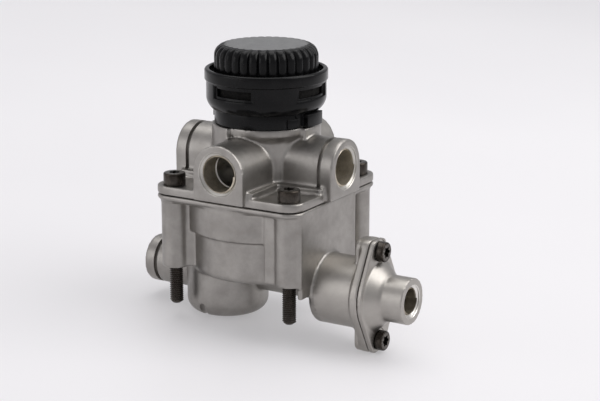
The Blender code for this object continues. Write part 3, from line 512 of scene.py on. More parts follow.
CAST = surface(
    "cast_aluminium", 1.0, ((0.280, 0.266, 0.250), (0.350, 0.334, 0.315)), patch=90.0,
    rough=(0.34, 0.46), grain=1600.0, strength=0.26, wear=(0.48, 0.465, 0.44))
SMOOTH_CAST = surface(
    "smooth_aluminium", 1.0, ((0.370, 0.351, 0.327), (0.405, 0.385, 0.360)), patch=110.0,
    rough=(0.36, 0.44), grain=900.0, strength=0.025, wear=(0.50, 0.485, 0.455))
BLACK = surface(
    "black_plastic", 0.0, ((0.003, 0.003, 0.0034), (0.006, 0.006, 0.0064)), patch=120.0,
    rough=(0.16, 0.24), grain=1500.0, strength=0.08, wear=(0.02, 0.02, 0.022), wear_from=0.56,
    specular=0.16)
# The cap's flat top: the same black plastic with its base colour raised to grey, a painted
# reflection of the pale backdrop
CAP_TOP_PAINTED_REFLECTION = surface(
    "black_cap_top_painted_reflection", 0.0, ((0.100, 0.100, 0.101), (0.130, 0.130, 0.131)), patch=160.0,
    rough=(0.28, 0.42), grain=1500.0, strength=0.10, specular=0.8)
OXIDE = surface(
    "black_oxide_steel", 0.9, ((0.022, 0.018, 0.015), (0.055, 0.046, 0.038)), patch=300.0,
    rough=(0.20, 0.38), grain=2500.0, strength=0.25, wear=(0.20, 0.185, 0.17))
WIRE = surface(
    "spring_wire", 1.0, ((0.40, 0.40, 0.41), (0.55, 0.55, 0.56)), patch=300.0,
    rough=(0.22, 0.36), grain=2200.0, strength=0.15)
RUBBER = surface(
    "moulded_rubber", 0.0, ((0.010, 0.010, 0.010), (0.024, 0.023, 0.022)), patch=300.0,
    rough=(0.55, 0.75), grain=1800.0, strength=0.25)
FIBRE = surface(
    "absorber_fibre", 0.0, ((0.003, 0.003, 0.003), (0.016, 0.015, 0.014)), patch=900.0,
    rough=(0.75, 0.95), grain=2600.0, strength=0.9, specular=0.15)
# The control ports' threads: the threaded aluminium below made darker, as painted shade deep in
# the narrow bores
THREAD_PAINTED_SHADE = surface(
    "thread_painted_shade", 0.75, ((0.240, 0.210, 0.165), (0.380, 0.335, 0.265)), patch=260.0,
    rough=(0.30, 0.45), grain=1800.0, strength=0.15)
THREAD = surface(
    "threaded_aluminium", 0.75, ((0.58, 0.52, 0.42), (0.72, 0.66, 0.55)), patch=260.0,
    rough=(0.26, 0.40), grain=1800.0, strength=0.15)
PORT_FACE_COLOURS = ((0.44, 0.425, 0.395), (0.54, 0.525, 0.49))
INNER = turned_metal("turned_inner", "Z", (0, 0, 0), ((0.56, 0.56, 0.55), (0.70, 0.70, 0.69)),
                     0.25)
FACE_Y = turned_metal("port_face_y", "Y", (0, 0, PORT_Z), PORT_FACE_COLOURS, 0.30)
FACE_X = turned_metal("port_face_x", "X", (0, 0, PORT_Z), PORT_FACE_COLOURS, 0.30)
FACE_CROSS = turned_metal("control_face", "X", CROSS,
                          ((0.62, 0.60, 0.57), (0.76, 0.74, 0.71)), 0.28)
FACE_MAIN = turned_metal("chamber_face", "Z", (0, 0, 0),
                         ((0.60, 0.59, 0.57), (0.72, 0.71, 0.69)), 0.30)

SCRAP = bpy.data.collections.new("scratch_shapes")
bpy.context.scene.collection.children.link(SCRAP)


def mesh_object(name, mesh):
    thing = bpy.data.objects.new(name, mesh)
    SCRAP.objects.link(thing)
    return thing


def turned(name, profile, steps, rise=0.0, turns=1):
    """Turn a profile of (radius, height) about Z. With a rise it becomes a helix."""
    points = [(radius * MM, 0.0, height * MM) for radius, height in profile]
    edges = [(i, i + 1) for i in range(len(points) - 1)]
    if profile[0][0] > 0 or profile[-1][0] > 0:
        edges.append((len(points) - 1, 0))
    mesh = bpy.data.meshes.new(name)
    mesh.from_pydata(points, edges, [])
    thing = mesh_object(name, mesh)
    screw = thing.modifiers.new("turn", "SCREW")
    screw.steps = steps
    screw.render_steps = steps
    screw.screw_offset = rise * MM
    screw.iterations = turns
    screw.use_merge_vertices = rise == 0
    screw.merge_threshold = WELD
    return thing


def slab(name, outline, low, high):
    """A flat outline in XY, from one height to another."""
    shape = bmesh.new()
    bottom = [shape.verts.new((x * MM, y * MM, low * MM)) for x, y in outline]
    top = [shape.verts.new((x * MM, y * MM, high * MM)) for x, y in outline]
    shape.faces.new(list(reversed(bottom)))
    shape.faces.new(top)
    for i in range(len(outline)):
        j = (i + 1) % len(outline)
        shape.faces.new((bottom[i], bottom[j], top[j], top[i]))
    bmesh.ops.recalc_face_normals(shape, faces=shape.faces)
    mesh = bpy.data.meshes.new(name)
    shape.to_mesh(mesh)
    shape.free()
    return mesh_object(name, mesh)


def facing(thing, azimuth, place=(0, 0, 0)):
    """Lay a shape built along Z out sideways: its Y stays up, its Z points to the azimuth."""
    thing.location = [value * MM for value in place]
    thing.rotation_euler = (math.radians(90), 0, math.radians(azimuth + 90))
    return thing


def placed(thing, x, y):
    thing.location = (x * MM, y * MM, 0)
    return thing


def arc(centre, radius, start, end, steps):
    points = []
    for i in range(steps + 1):
        angle = math.radians(start + (end - start) * i / steps)
        points.append((centre[0] + radius * math.cos(angle),
                       centre[1] + radius * math.sin(angle)))
    return points


def rounded_rectangle(x_low, x_high, y_low, y_high, corner, steps=CORNER_STEPS):
    points = arc((x_high - corner, y_high - corner), corner, 0, 90, steps)
    points += arc((x_low + corner, y_high - corner), corner, 90, 180, steps)
    points += arc((x_low + corner, y_low + corner), corner, 180, 270, steps)
    points += arc((x_high - corner, y_low + corner), corner, 270, 360, steps)
    return points


def sector(inner, outer, azimuth, width):
    start = azimuth - width / 2
    end = azimuth + width / 2
    outside = arc((0, 0), outer, start, end, SECTOR_STEPS)
    return outside + arc((0, 0), inner, end, start, SECTOR_STEPS)


def arch(half_width, foot, spring_line):
    points = [(-half_width, foot), (half_width, foot)]
    return points + arc((0, spring_line), half_width, 0, 180, ARCH_STEPS)


def two_lobed(waist, half_width, end, corner):
    """A round waist with a blunt lobe above and below, joined by tangents."""
    across = half_width - corner
    along = end - corner
    distance = math.hypot(across, along)
    lean = math.degrees(math.atan2(along, across) - math.acos((waist - corner) / distance))
    points = arc((across, along), corner, lean, 90, CORNER_STEPS)
    points += arc((-across, along), corner, 90, 180 - lean, CORNER_STEPS)
    points += arc((0, 0), waist, 180 - lean, 180 + lean, WAIST_STEPS)
    points += arc((-across, -along), corner, 180 + lean, 270, CORNER_STEPS)
    points += arc((across, -along), corner, 270, 360 - lean, CORNER_STEPS)
    return points + arc((0, 0), waist, -lean, lean, WAIST_STEPS)


def cylinder(name, radius, low, high, steps=ROUND):
    return turned(name, [(0, high), (radius, high), (radius, low), (0, low)], steps)


def corners(place):
    return [(-place, -place), (place, -place), (place, place), (-place, place)]


def settle(thing):
    """Turn a shape with its modifiers and placing into a plain mesh in the row frame."""
    graph = bpy.context.evaluated_depsgraph_get()
    mesh = bpy.data.meshes.new_from_object(thing.evaluated_get(graph))
    mesh.transform(thing.evaluated_get(graph).matrix_world)
    name = thing.name
    bpy.data.objects.remove(thing, do_unlink=True)
    mesh.name = name
    return mesh_object(name, mesh)


def combine(target, tools, operation):
    """One Boolean with a group of shapes, then the shapes go."""
    group = bpy.data.collections.new(target.name + "_tools")
    bpy.context.scene.collection.children.link(group)
    for tool in tools:
        SCRAP.objects.unlink(tool)
        group.objects.link(tool)
    step = target.modifiers.new("combine", "BOOLEAN")
    step.operation = operation
    step.operand_type = "COLLECTION"
    step.collection = group
    step.solver = "EXACT"
    made = settle(target)
    for tool in tools:
        bpy.data.objects.remove(tool, do_unlink=True)
    bpy.data.collections.remove(group)
    return made


def finish_with(thing, *materials):
    """Set the list of materials. Every face takes the first one."""
    thing.data.materials.clear()
    for material in materials:
        thing.data.materials.append(material)
    return thing


def painted(tool, materials, material):
    """A shape whose faces keep one material of the list through a Boolean."""
    finish_with(tool, *materials)
    if tool.modifiers:
        tool = settle(tool)
    values = [materials.index(material)] * len(tool.data.polygons)
    tool.data.polygons.foreach_set("material_index", values)
    return tool


def skin(thing, cell=CELL, easing=EASING):
    """Remesh a casting so that its edges and corners take a small radius."""
    cells = thing.modifiers.new("cells", "REMESH")
    cells.mode = "VOXEL"
    cells.voxel_size = cell * MM
    ease = thing.modifiers.new("ease", "SMOOTH")
    ease.factor = EASE_FACTOR
    ease.iterations = easing
    return settle(thing)


def shown(thing, body, *nodes):
    """A finished piece: shaded smooth, in the scene, riding a body."""
    thing.data.shade_smooth()
    thing.data.set_sharp_from_angle(angle=math.radians(SMOOTH_ANGLE))
    SCRAP.objects.unlink(thing)
    bpy.context.scene.collection.objects.link(thing)
    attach(thing, body)
    if nodes:
        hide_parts(*nodes)


def port_bore(name, face, depth, root_r, bore_r, sink_r, threaded):
    """A port's mouth, the room for its thread and the plain bore behind it."""
    floor = face - SINK_STEP
    mouth_r = sink_r + SINK_CHAMFER
    return turned(name, [
        (0, face + OVERCUT), (mouth_r + OVERCUT, face + OVERCUT), (mouth_r, face),
        (sink_r, face - SINK_CHAMFER), (sink_r, floor),
        (root_r, floor - (sink_r - root_r) * SINK_SLOPE), (root_r, face - threaded),
        (bore_r, face - threaded - THREAD_RUNOUT), (bore_r, depth), (0, depth)], ROUND)


def inner_thread(name, face, depth, root_r, crest_r):
    """A helical thread with flat crests, lining a port's wall."""
    pitch = PORT_PITCH
    low = face - depth
    turns = int((depth - THREAD_START) / pitch)
    profile = [(crest_r, low), (crest_r, low + CREST_SHARE * pitch), (root_r, low + pitch / 2),
               (crest_r, low + (1 - CREST_SHARE) * pitch), (crest_r, low + pitch)]
    return turned(name, profile, THREAD_STEPS, pitch, turns)


def collar_groove(azimuth):
    """The groove behind a delivery port's collar, over its round top and straight sides."""
    high = DELIVERY_FACE - COLLAR_LENGTH
    floor = PORT_BOSS_R - GROOVE_DEPTH
    outer = PORT_BOSS_R + OVERCUT
    outline = [(outer, FOOT_TOP_Z), (outer, PORT_Z + outer), (-outer, PORT_Z + outer),
               (-outer, FOOT_TOP_Z), (-floor, FOOT_TOP_Z)]
    outline += arc((0, PORT_Z), floor, 180, 0, GROOVE_STEPS)
    outline.append((floor, FOOT_TOP_Z))
    return facing(slab(f"groove_{azimuth}", outline, high - GROOVE_WIDTH, high), azimuth)


def upper_housing():
    """The upper casting with its machined ports and chamber."""
    half = PLATE_HALF
    outline = rounded_rectangle(-half, half, -half, half, PLATE_CORNER)
    body = slab("upper_casting", outline, PARTING_Z, PLATE_TOP_Z)
    inner = half - RIM_WIDTH
    outline = rounded_rectangle(POCKET_INNER, inner, POCKET_INNER, inner, POCKET_CORNER)
    pockets = []
    for quarter in range(4):
        pocket = slab(f"pocket_{quarter}", outline, POCKET_FLOOR_Z, PLATE_TOP_Z + OVERCUT)
        pocket.rotation_euler = (0, 0, math.radians(90 * quarter))
        pockets.append(pocket)
    body = combine(body, pockets, "DIFFERENCE")
    low = PARTING_Z + TOWER_START
    tower = turned("tower", [
        (0, TOWER_TOP_Z), (BEAD_R, TOWER_TOP_Z), (BEAD_R, BEAD_LOW_Z + BEAD_EDGE),
        (BEAD_R - BEAD_EDGE, BEAD_LOW_Z), (TOWER_R, BEAD_LOW_Z - BEAD_SLOPE), (TOWER_R, low),
        (0, low)], FINE)
    wide, reach = FOOT_HALF_WIDTH, FOOT_REACH
    foot_y = slab("foot_y", rounded_rectangle(-wide, wide, -reach, reach, FOOT_CORNER),
                  PARTING_Z + FOOT_Y_START, FOOT_TOP_Z)
    foot_x = slab("foot_x", rounded_rectangle(-reach, reach, -wide, wide, FOOT_CORNER),
                  PARTING_Z + FOOT_X_START, FOOT_TOP_Z - FOOT_STAGGER)
    added = [tower, foot_y, foot_x]
    for azimuth, face in PORT_FACES:
        boss = slab(f"boss_{azimuth}", arch(PORT_BOSS_R, PARTING_Z + BOSS_START, PORT_Z),
                    TOWER_R / 2, face)
        added.append(facing(boss, azimuth))
    for azimuth in POST_AZIMUTHS:
        outline = sector(TOWER_R - 2 * ROOT, POST_R, azimuth, POST_WIDTH)
        added.append(slab(f"post_{azimuth}", outline, PARTING_Z + POST_START, TOWER_TOP_Z - GAP))
    body = skin(combine(body, added, "UNION"))
    finishes = (CAST, FACE_Y, FACE_X, FACE_MAIN)
    finish_with(body, *finishes)
    inside = turned("inside", [
        (0, TOWER_TOP_Z + OVERCUT), (CHAMBER_R, TOWER_TOP_Z + OVERCUT),
        (CHAMBER_R, CHAMBER_FLOOR_Z), (INLET_LIP_R + INLET_LIP_SLOPE, CHAMBER_FLOOR_Z),
        (INLET_LIP_R, INLET_SEAT_Z), (INLET_R, INLET_SEAT_Z),
        (INLET_R, PARTING_Z - OVERCUT), (0, PARTING_Z - OVERCUT)], FINE)
    removed = [painted(inside, finishes, FACE_MAIN)]
    for azimuth in (-90, 90):
        bore = port_bore(f"supply_{azimuth}", SUPPLY_FACE, SUPPLY_END, PORT_ROOT_R, PORT_BORE_R,
                         PORT_SINK_R, PORT_THREAD_DEPTH)
        removed.append(painted(facing(bore, azimuth, (0, 0, PORT_Z)), finishes, FACE_Y))
    for azimuth, side in ((0, 1), (180, -1)):
        bore = port_bore(f"delivery_{azimuth}", DELIVERY_FACE, DELIVERY_END, PORT_ROOT_R,
                         PORT_BORE_R, PORT_SINK_R, PORT_THREAD_DEPTH)
        removed.append(painted(facing(bore, azimuth, (0, 0, PORT_Z)), finishes, FACE_X))
        removed.append(painted(collar_groove(azimuth), finishes, CAST))
        passage = cylinder(f"passage_{azimuth}", PASSAGE_R, PARTING_Z - OVERCUT, PORT_Z)
        removed.append(painted(placed(passage, side * PASSAGE_PLACE, 0), finishes, CAST))
    for index, (x, y) in enumerate(corners(BOLT_PLACE)):
        hole = cylinder(f"upper_hole_{index}", BOLT_HOLE_R, PARTING_Z - OVERCUT,
                        PLATE_TOP_Z + OVERCUT, COARSE)
        removed.append(painted(placed(hole, x, y), finishes, FACE_MAIN))
    body = combine(body, removed, "DIFFERENCE")
    shown(body, "housing", "upper_housing")


def port_threads():
    """The threads in the four large ports and in the two control ports."""
    for azimuth, face in PORT_FACES:
        ridge = inner_thread(f"port_thread_{azimuth % 360}", face, PORT_THREAD_DEPTH,
                             PORT_ROOT_R, PORT_BORE_R)
        ridge = settle(facing(ridge, azimuth, (0, 0, PORT_Z)))
        shown(finish_with(ridge, THREAD), "housing")
    # The two control ports' threads take the darker copy of the thread finish, which is painted
    # shade
    for azimuth, face, name in ((0, NOSE_FACE_X, "nose_thread"), (180, LEFT_FACE, "left_thread")):
        ridge = inner_thread(name, face, CONTROL_THREAD_DEPTH, CONTROL_ROOT_R, CONTROL_BORE_R)
        ridge = settle(facing(ridge, azimuth, CROSS))
        shown(finish_with(ridge, THREAD_PAINTED_SHADE), "housing")


def lower_casting():
    """Rim, chamber bulge, pillars with webs, wall, bowl, check valve boss and left port."""
    half = PLATE_HALF
    body = slab("lower_casting", rounded_rectangle(-half, half, -half, half, PLATE_CORNER),
                RIM_EDGE_Z, RIM_TOP_Z)
    under = half - RIM_UNDERCUT
    outline = rounded_rectangle(-under, under, -under, under, PLATE_CORNER - RIM_UNDERCUT)
    added = [slab("rim_under", outline, RIM_LOW_Z, RIM_TOP_Z - RIM_END)]
    high = RIM_TOP_Z - BULGE_END
    added.append(turned("bulge", [
        (0, high), (BULGE_R, high), (BULGE_R, BODY_STEP_Z + BODY_STEP_HEIGHT),
        (BODY_R, BODY_STEP_Z), (BODY_R, BODY_LOW_Z + BODY_EDGE),
        (BODY_R - BODY_EDGE_MIDDLE, BODY_LOW_Z + BODY_EDGE_MIDDLE),
        (BODY_R - BODY_EDGE, BODY_LOW_Z), (0, BODY_LOW_Z)], FINE))
    outline = rounded_rectangle(WEB_START, WEB_END, -WEB_HALF_WIDTH, WEB_HALF_WIDTH,
                                WEB_CORNER, 1)
    for index, (x, y) in enumerate(corners(BOLT_PLACE)):
        pillar = cylinder(f"pillar_{index}", PILLAR_R, 0, RIM_TOP_Z - PILLAR_END)
        added.append(placed(pillar, x, y))
        web = slab(f"web_{index}", outline, GAP, RIM_TOP_Z - WEB_END_DROP)
        web.rotation_euler = (0, 0, math.atan2(y, x))
        added.append(web)
    low_y = CROSS_Y - WALL_HALF
    high_y = CROSS_Y + WALL_HALF
    outline = rounded_rectangle(WALL_X - WALL_DEPTH, WALL_X, low_y, high_y, WALL_CORNER)
    added.append(slab("wall", outline, -GAP, RIM_TOP_Z - WALL_END))
    outline = rounded_rectangle(WALL_X - WALL_THICKNESS, WALL_X - GAP, low_y + SKIRT_INSET,
                                high_y - SKIRT_INSET, SKIRT_CORNER)
    added.append(slab("wall_skirt", outline, WALL_LOW_Z, SKIRT_TOP_Z))
    edge = [(BOWL_R - BOWL_EDGE + x, BOWL_LOW_Z + BOWL_EDGE + z)
            for x, z in arc((0, 0), BOWL_EDGE, 0, -90, QUARTER_STEPS)]
    high = BODY_LOW_Z + BOWL_ROOT
    bowl = turned("bowl", [(0, high), (BOWL_R, high)] + edge + [(0, BOWL_LOW_Z)], FINE)
    added.append(placed(bowl, BOWL_X, CROSS_Y))
    beam = cylinder("beam", BEAM_R, BOWL_X, WALL_X - ROOT)
    boss = cylinder("boss", BOSS_R, BOSS_START_X, FLANGE_FACE_X - ROOT, FINE)
    outline = two_lobed(FLANGE_WAIST_R, LOBE_HALF_WIDTH, LOBE_END, LOBE_CORNER)
    flange = slab("flange", outline, FLANGE_BACK_X, FLANGE_FACE_X)
    wide = LOBE_HALF_WIDTH - LOBE_BACK_INSET
    end = LOBE_END - LOBE_BACK_INSET
    outline = rounded_rectangle(-wide, wide, -end, end, LOBE_CORNER)
    backs = slab("lobe_backs", outline, LOBE_BACK_X, FLANGE_BACK_X + ROOT)
    for shape in (beam, boss, flange, backs):
        added.append(facing(shape, 0, CROSS))
    added.append(facing(cylinder("left_port", LEFT_R, LEFT_START, LEFT_FACE), 180, CROSS))
    return skin(combine(body, added, "UNION"))


def lower_housing():
    """The lower casting: what is cast, then what is machined into it."""
    finishes = (CAST, FACE_CROSS, FACE_MAIN, SMOOTH_CAST)
    body = finish_with(lower_casting(), *finishes)
    for face in body.data.polygons:
        if face.center.x > SMOOTH_START_X * MM:
            face.material_index = finishes.index(SMOOTH_CAST)
    chamber = cylinder("chamber", CHAMBER_BORE_R, CHAMBER_BORE_FLOOR_Z, RIM_TOP_Z + OVERCUT, FINE)
    seal = turned("seal_groove", [
        (SEAL_INNER_R, RIM_TOP_Z + OVERCUT), (SEAL_OUTER_R, RIM_TOP_Z + OVERCUT),
        (SEAL_OUTER_R, RIM_TOP_Z - SEAL_DEPTH), (SEAL_INNER_R, RIM_TOP_Z - SEAL_DEPTH)], FINE)
    check = turned("check_bore", [
        (0, FLANGE_FACE_X + OVERCUT), (CHECK_BORE_R, FLANGE_FACE_X + OVERCUT),
        (CHECK_BORE_R, CHECK_FLOOR_X), (GALLERY_R, CHECK_FLOOR_X), (GALLERY_R, GALLERY_END_X),
        (0, GALLERY_END_X)], ROUND)
    left = port_bore("left_bore", LEFT_FACE, LEFT_FACE - CONTROL_DEPTH, CONTROL_ROOT_R,
                     CONTROL_BORE_R, CONTROL_SINK_R, CONTROL_THREAD_DEPTH)
    high = LEFT_FACE - LEFT_COLLAR
    low = high - GROOVE_WIDTH
    groove = turned("left_groove", [
        (LEFT_R - GROOVE_DEPTH, high), (LEFT_R + OVERCUT, high), (LEFT_R + OVERCUT, low),
        (LEFT_R - GROOVE_DEPTH, low)], ROUND)
    recess = cylinder("recess", BOWL_RECESS_R, BOWL_LOW_Z - OVERCUT, BOWL_RECESS_TOP_Z)
    notch = slab("notch", arch(NOTCH_WIDTH / 2, -OVERCUT, NOTCH_HEIGHT - NOTCH_WIDTH / 2),
                 BOWL_RECESS_R - NOTCH_ROOT, BOWL_R + OVERCUT)
    facing(notch, -90, (BOWL_X - NOTCH_SHIFT, CROSS_Y, BOWL_LOW_Z))
    removed = [
        painted(chamber, finishes, FACE_MAIN), painted(seal, finishes, FACE_MAIN),
        painted(facing(check, 0, CROSS), finishes, FACE_CROSS),
        painted(facing(left, 180, CROSS), finishes, FACE_CROSS),
        painted(facing(groove, 180, CROSS), finishes, CAST),
        painted(placed(recess, BOWL_X, CROSS_Y), finishes, CAST),
        painted(notch, finishes, CAST)]
    for index, (x, y) in enumerate(corners(BOLT_PLACE)):
        hole = cylinder(f"lower_hole_{index}", BOLT_HOLE_R, -OVERCUT, RIM_TOP_Z + OVERCUT, COARSE)
        removed.append(painted(placed(hole, x, y), finishes, FACE_MAIN))
    for side in (1, -1):
        hole = cylinder(f"flange_hole_{side}", SCREW_R + GAP, LOBE_BACK_X - OVERCUT,
                        FLANGE_FACE_X + OVERCUT, COARSE)
        facing(hole, 0, (0, CROSS_Y, CROSS_Z + side * SCREW_PLACE))
        removed.append(painted(hole, finishes, FACE_CROSS))
    body = combine(body, removed, "DIFFERENCE")
    shown(body, "housing", "lower_housing")


def check_valve_cover():
    """The flanged cover with its cone and machined nose."""
    start = FLANGE_FACE_X + GAP
    outline = two_lobed(FLANGE_WAIST_R, LOBE_HALF_WIDTH, LOBE_END, LOBE_CORNER)
    flange = facing(slab("cover_flange", outline, start, COVER_FLANGE_X), 0, CROSS)
    spigot_r = CHECK_BORE_R - GAP
    cover = turned("cover_casting", [
        (0, NOSE_FACE_X), (NOSE_R, NOSE_FACE_X), (NOSE_R, NOSE_START_X + NOSE_FOOT_RISE),
        (NOSE_R + NOSE_FOOT, NOSE_START_X - NOSE_FOOT), (COVER_WAIST_R, COVER_FLANGE_X - GAP),
        (COVER_WAIST_R, start + ROOT), (spigot_r, start + ROOT), (spigot_r, COVER_LOW[0]),
        (0, COVER_LOW[0])], FINE)
    body = combine(settle(facing(cover, 0, CROSS)), [flange], "UNION")
    body = skin(body, COVER_CELL, COVER_EASING)
    finishes = (SMOOTH_CAST, FACE_CROSS)
    finish_with(body, *finishes)
    bore = port_bore("nose_bore", NOSE_FACE_X, NOSE_FACE_X - CONTROL_DEPTH, CONTROL_ROOT_R,
                     CONTROL_BORE_R, CONTROL_SINK_R, CONTROL_THREAD_DEPTH)
    way = cylinder("nose_way", GALLERY_R, COVER_LOW[0] - OVERCUT,
                   NOSE_FACE_X - CONTROL_DEPTH + ROOT)
    removed = [painted(facing(bore, 0, CROSS), finishes, FACE_CROSS),
               painted(facing(way, 0, CROSS), finishes, FACE_CROSS)]
    for side in (1, -1):
        place = (0, CROSS_Y, CROSS_Z + side * SCREW_PLACE)
        hole = cylinder(f"cover_hole_{side}", SCREW_R + GAP, FLANGE_FACE_X - OVERCUT,
                        COVER_FLANGE_X + OVERCUT, COARSE)
        spot = cylinder(f"spot_{side}", SPOT_R, COVER_FLANGE_X - SPOT_DEPTH,
                        NOSE_START_X + SPOT_REACH, COARSE)
        removed.append(painted(facing(hole, 0, place), finishes, FACE_CROSS))
        removed.append(painted(facing(spot, 0, place), finishes, SMOOTH_CAST))
    body = combine(body, removed, "DIFFERENCE")
    shown(body, "housing", "check_valve_cover")


def six_lobe(radius):
    """The outline of a six-lobed drive."""
    points = []
    for i in range(DRIVE_STEPS):
        angle = 2 * math.pi * i / DRIVE_STEPS
        wave = (1 + math.cos(DRIVE_LOBES * angle)) / 2
        reach = radius * (DRIVE_SHARE + (1 - DRIVE_SHARE) * wave)
        points.append((reach * math.cos(angle), reach * math.sin(angle)))
    return points


def bolt(name, radius, head_r, head_low, head_high, end, pitch, thread_top, drive_r, drive):
    """A cap bolt along Z with a rounded head, a six-lobed drive and a real thread."""
    root = radius * BOLT_ROOT_SHARE
    ease = head_r * HEAD_EASE_SHARE
    head = [(head_r - ease + x, head_high - ease + z)
            for x, z in arc((0, 0), ease, 90, 0, EDGE_STEPS)]
    shank = turned(name, [(0, head_high)] + head + [
        (head_r, head_low + HEAD_CHAMFER), (head_r - HEAD_CHAMFER, head_low),
        (radius, head_low), (radius, thread_top), (root, thread_top - BOLT_RUNOUT),
        (root, end + BOLT_POINT), (root - BOLT_POINT, end), (0, end)], ROUND)
    low = end + RIDGE_START
    inner = root - RIDGE_SINK
    ridge = turned(name + "_thread", [
        (inner, low + (1 - CREST_SHARE) * pitch), (radius, low + pitch / 2),
        (inner, low + CREST_SHARE * pitch)], COARSE, pitch,
        int((thread_top - end - RIDGE_SPARE) / pitch))
    hole = slab(name + "_drive", six_lobe(drive_r), head_high - drive, head_high + OVERCUT)
    return combine(settle(shank), [hole], "DIFFERENCE"), ridge


def housing_bolts():
    """The four bolts through both housings, whose ends stand out as studs."""
    for index, (x, y) in enumerate(corners(BOLT_PLACE)):
        shank, ridge = bolt(f"bolt_{index + 1}", BOLT_R, BOLT_HEAD_R, BOLT_SEAT_Z, BOLT_HIGH[2],
                            BOLT_LOW[2], BOLT_PITCH, BOLT_THREAD_TOP_Z, BOLT_SOCKET_R,
                            BOLT_DRIVE_DEPTH)
        shank = settle(placed(shank, x, y))
        ridge = settle(placed(ridge, x, y))
        shown(finish_with(shank, OXIDE), "housing", f"housing_bolt_{index + 1}")
        shown(finish_with(ridge, OXIDE), "housing")


def cover_screws():
    """The two screws that hold the check valve cover."""
    for index, side in enumerate((1, -1)):
        place = (0, CROSS_Y, CROSS_Z + side * SCREW_PLACE)
        shank, ridge = bolt(f"screw_{index + 1}", SCREW_R, SCREW_HEAD_R, SCREW_SEAT_X,
                            SCREW_HIGH[0], SCREW_LOW[0], SCREW_PITCH,
                            SCREW_SEAT_X - SCREW_SHANK, SCREW_SOCKET_R, SCREW_DRIVE_DEPTH)
        shank = settle(facing(shank, 0, place))
        ridge = settle(facing(ridge, 0, place))
        shown(finish_with(shank, OXIDE), "housing", f"cover_screw_{index + 1}")
        shown(finish_with(ridge, OXIDE), "housing")


def eased(thing, width, segments=3):
    """Round the edges of a moulding."""
    step = thing.modifiers.new("round", "BEVEL")
    step.width = width * MM
    step.segments = segments
    step.limit_method = "ANGLE"
    step.angle_limit = math.radians(BEVEL_ANGLE)
    return settle(thing)


def silencer_base():
    """The ring under the shell, with its spigot, key and ears."""
    base = turned("base_moulding", [
        (BASE_OPENING_R, BASE_TOP_Z), (BASE_R, BASE_TOP_Z), (BASE_R, BASE_LOW_Z),
        (BASE_SPIGOT_R, BASE_LOW_Z), (BASE_SPIGOT_R, BASE_LOW[2]),
        (BASE_OPENING_R, BASE_LOW[2])], FINE)
    root_r = BASE_R - 2 * ROOT
    low = BASE_LOW_Z + GAP
    ears = [slab("key", sector(root_r, KEY_R, KEY_AZIMUTH, KEY_WIDTH), low, KEY_TOP_Z)]
    for azimuth in EAR_AZIMUTHS:
        outline = sector(root_r, EAR_R, azimuth, EAR_WIDTH)
        ears.append(slab(f"ear_{azimuth}", outline, low, BASE_TOP_Z - GAP))
    base = eased(combine(settle(base), ears, "UNION"), BASE_EASE)
    shown(finish_with(base, BLACK), "housing", "silencer_base")


def silencer_body():
    """The windowed shell and its rounded band."""
    low = SHELL_LOW_Z
    band = [(BAND_R - BAND_EDGE + x, SHELL_TOP_Z - BAND_EDGE + z)
            for x, z in arc((0, 0), BAND_EDGE, 90, 0, EDGE_STEPS)]
    taper = []
    for step in range(TAPER_STEPS):
        share = step / TAPER_STEPS
        taper.append((SHELL_R - (SHELL_R - SHELL_FOOT_R) * share ** 2,
                      SHELL_STRAIGHT_Z - (SHELL_STRAIGHT_Z - low) * share))
    lip = [(LEDGE_R, SHELL_TOP_Z - LEDGE_CHAMFER), (LEDGE_R + LEDGE_CHAMFER, SHELL_TOP_Z)]
    under = [(BAND_R, BAND_LOW_Z + BAND_FOOT_HIGH),
             (BAND_R - BAND_FOOT_IN, BAND_LOW_Z + BAND_FOOT_LOW), (SHELL_R, BAND_LOW_Z)]
    floor = low + SHELL_FLOOR
    inside = [(SHELL_FOOT_R, low), (BASE_OPENING_R, low), (BASE_OPENING_R, floor),
              (SHELL_INNER_R, floor), (SHELL_INNER_R, LEDGE_Z), (LEDGE_R, LEDGE_Z)]
    shell = turned("shell_moulding", lip + band + under + taper + inside, FINE)
    windows = []
    outer = SHELL_R + WINDOW_REACH
    slot_width = WINDOW_WIDTH - WINDOW_SIDES
    for azimuth in WINDOW_AZIMUTHS:
        outline = sector(SHELL_R - WINDOW_STEP, outer, azimuth, WINDOW_WIDTH)
        windows.append(slab(f"step_{azimuth}", outline, WINDOW_LOW_Z, WINDOW_HIGH_Z))
        outline = sector(SHELL_INNER_R - ROOT, outer, azimuth, slot_width)
        windows.append(slab(f"slot_{azimuth}", outline, WINDOW_LOW_Z + WINDOW_FRAME,
                            WINDOW_HIGH_Z - WINDOW_FRAME))
    shell = combine(settle(shell), windows, "DIFFERENCE")
    shell = eased(shell, SHELL_EASE, SHELL_EASE_STEPS)
    shown(finish_with(shell, BLACK), "housing", "silencer_body")


def rib_radius(base, angle, depth):
    """Broad round ribs with narrow grooves between them."""
    pitch = 2 * math.pi / RIB_COUNT
    across = abs((angle % pitch) / pitch * 2 - 1)
    return base - depth * across ** RIB_SHAPE


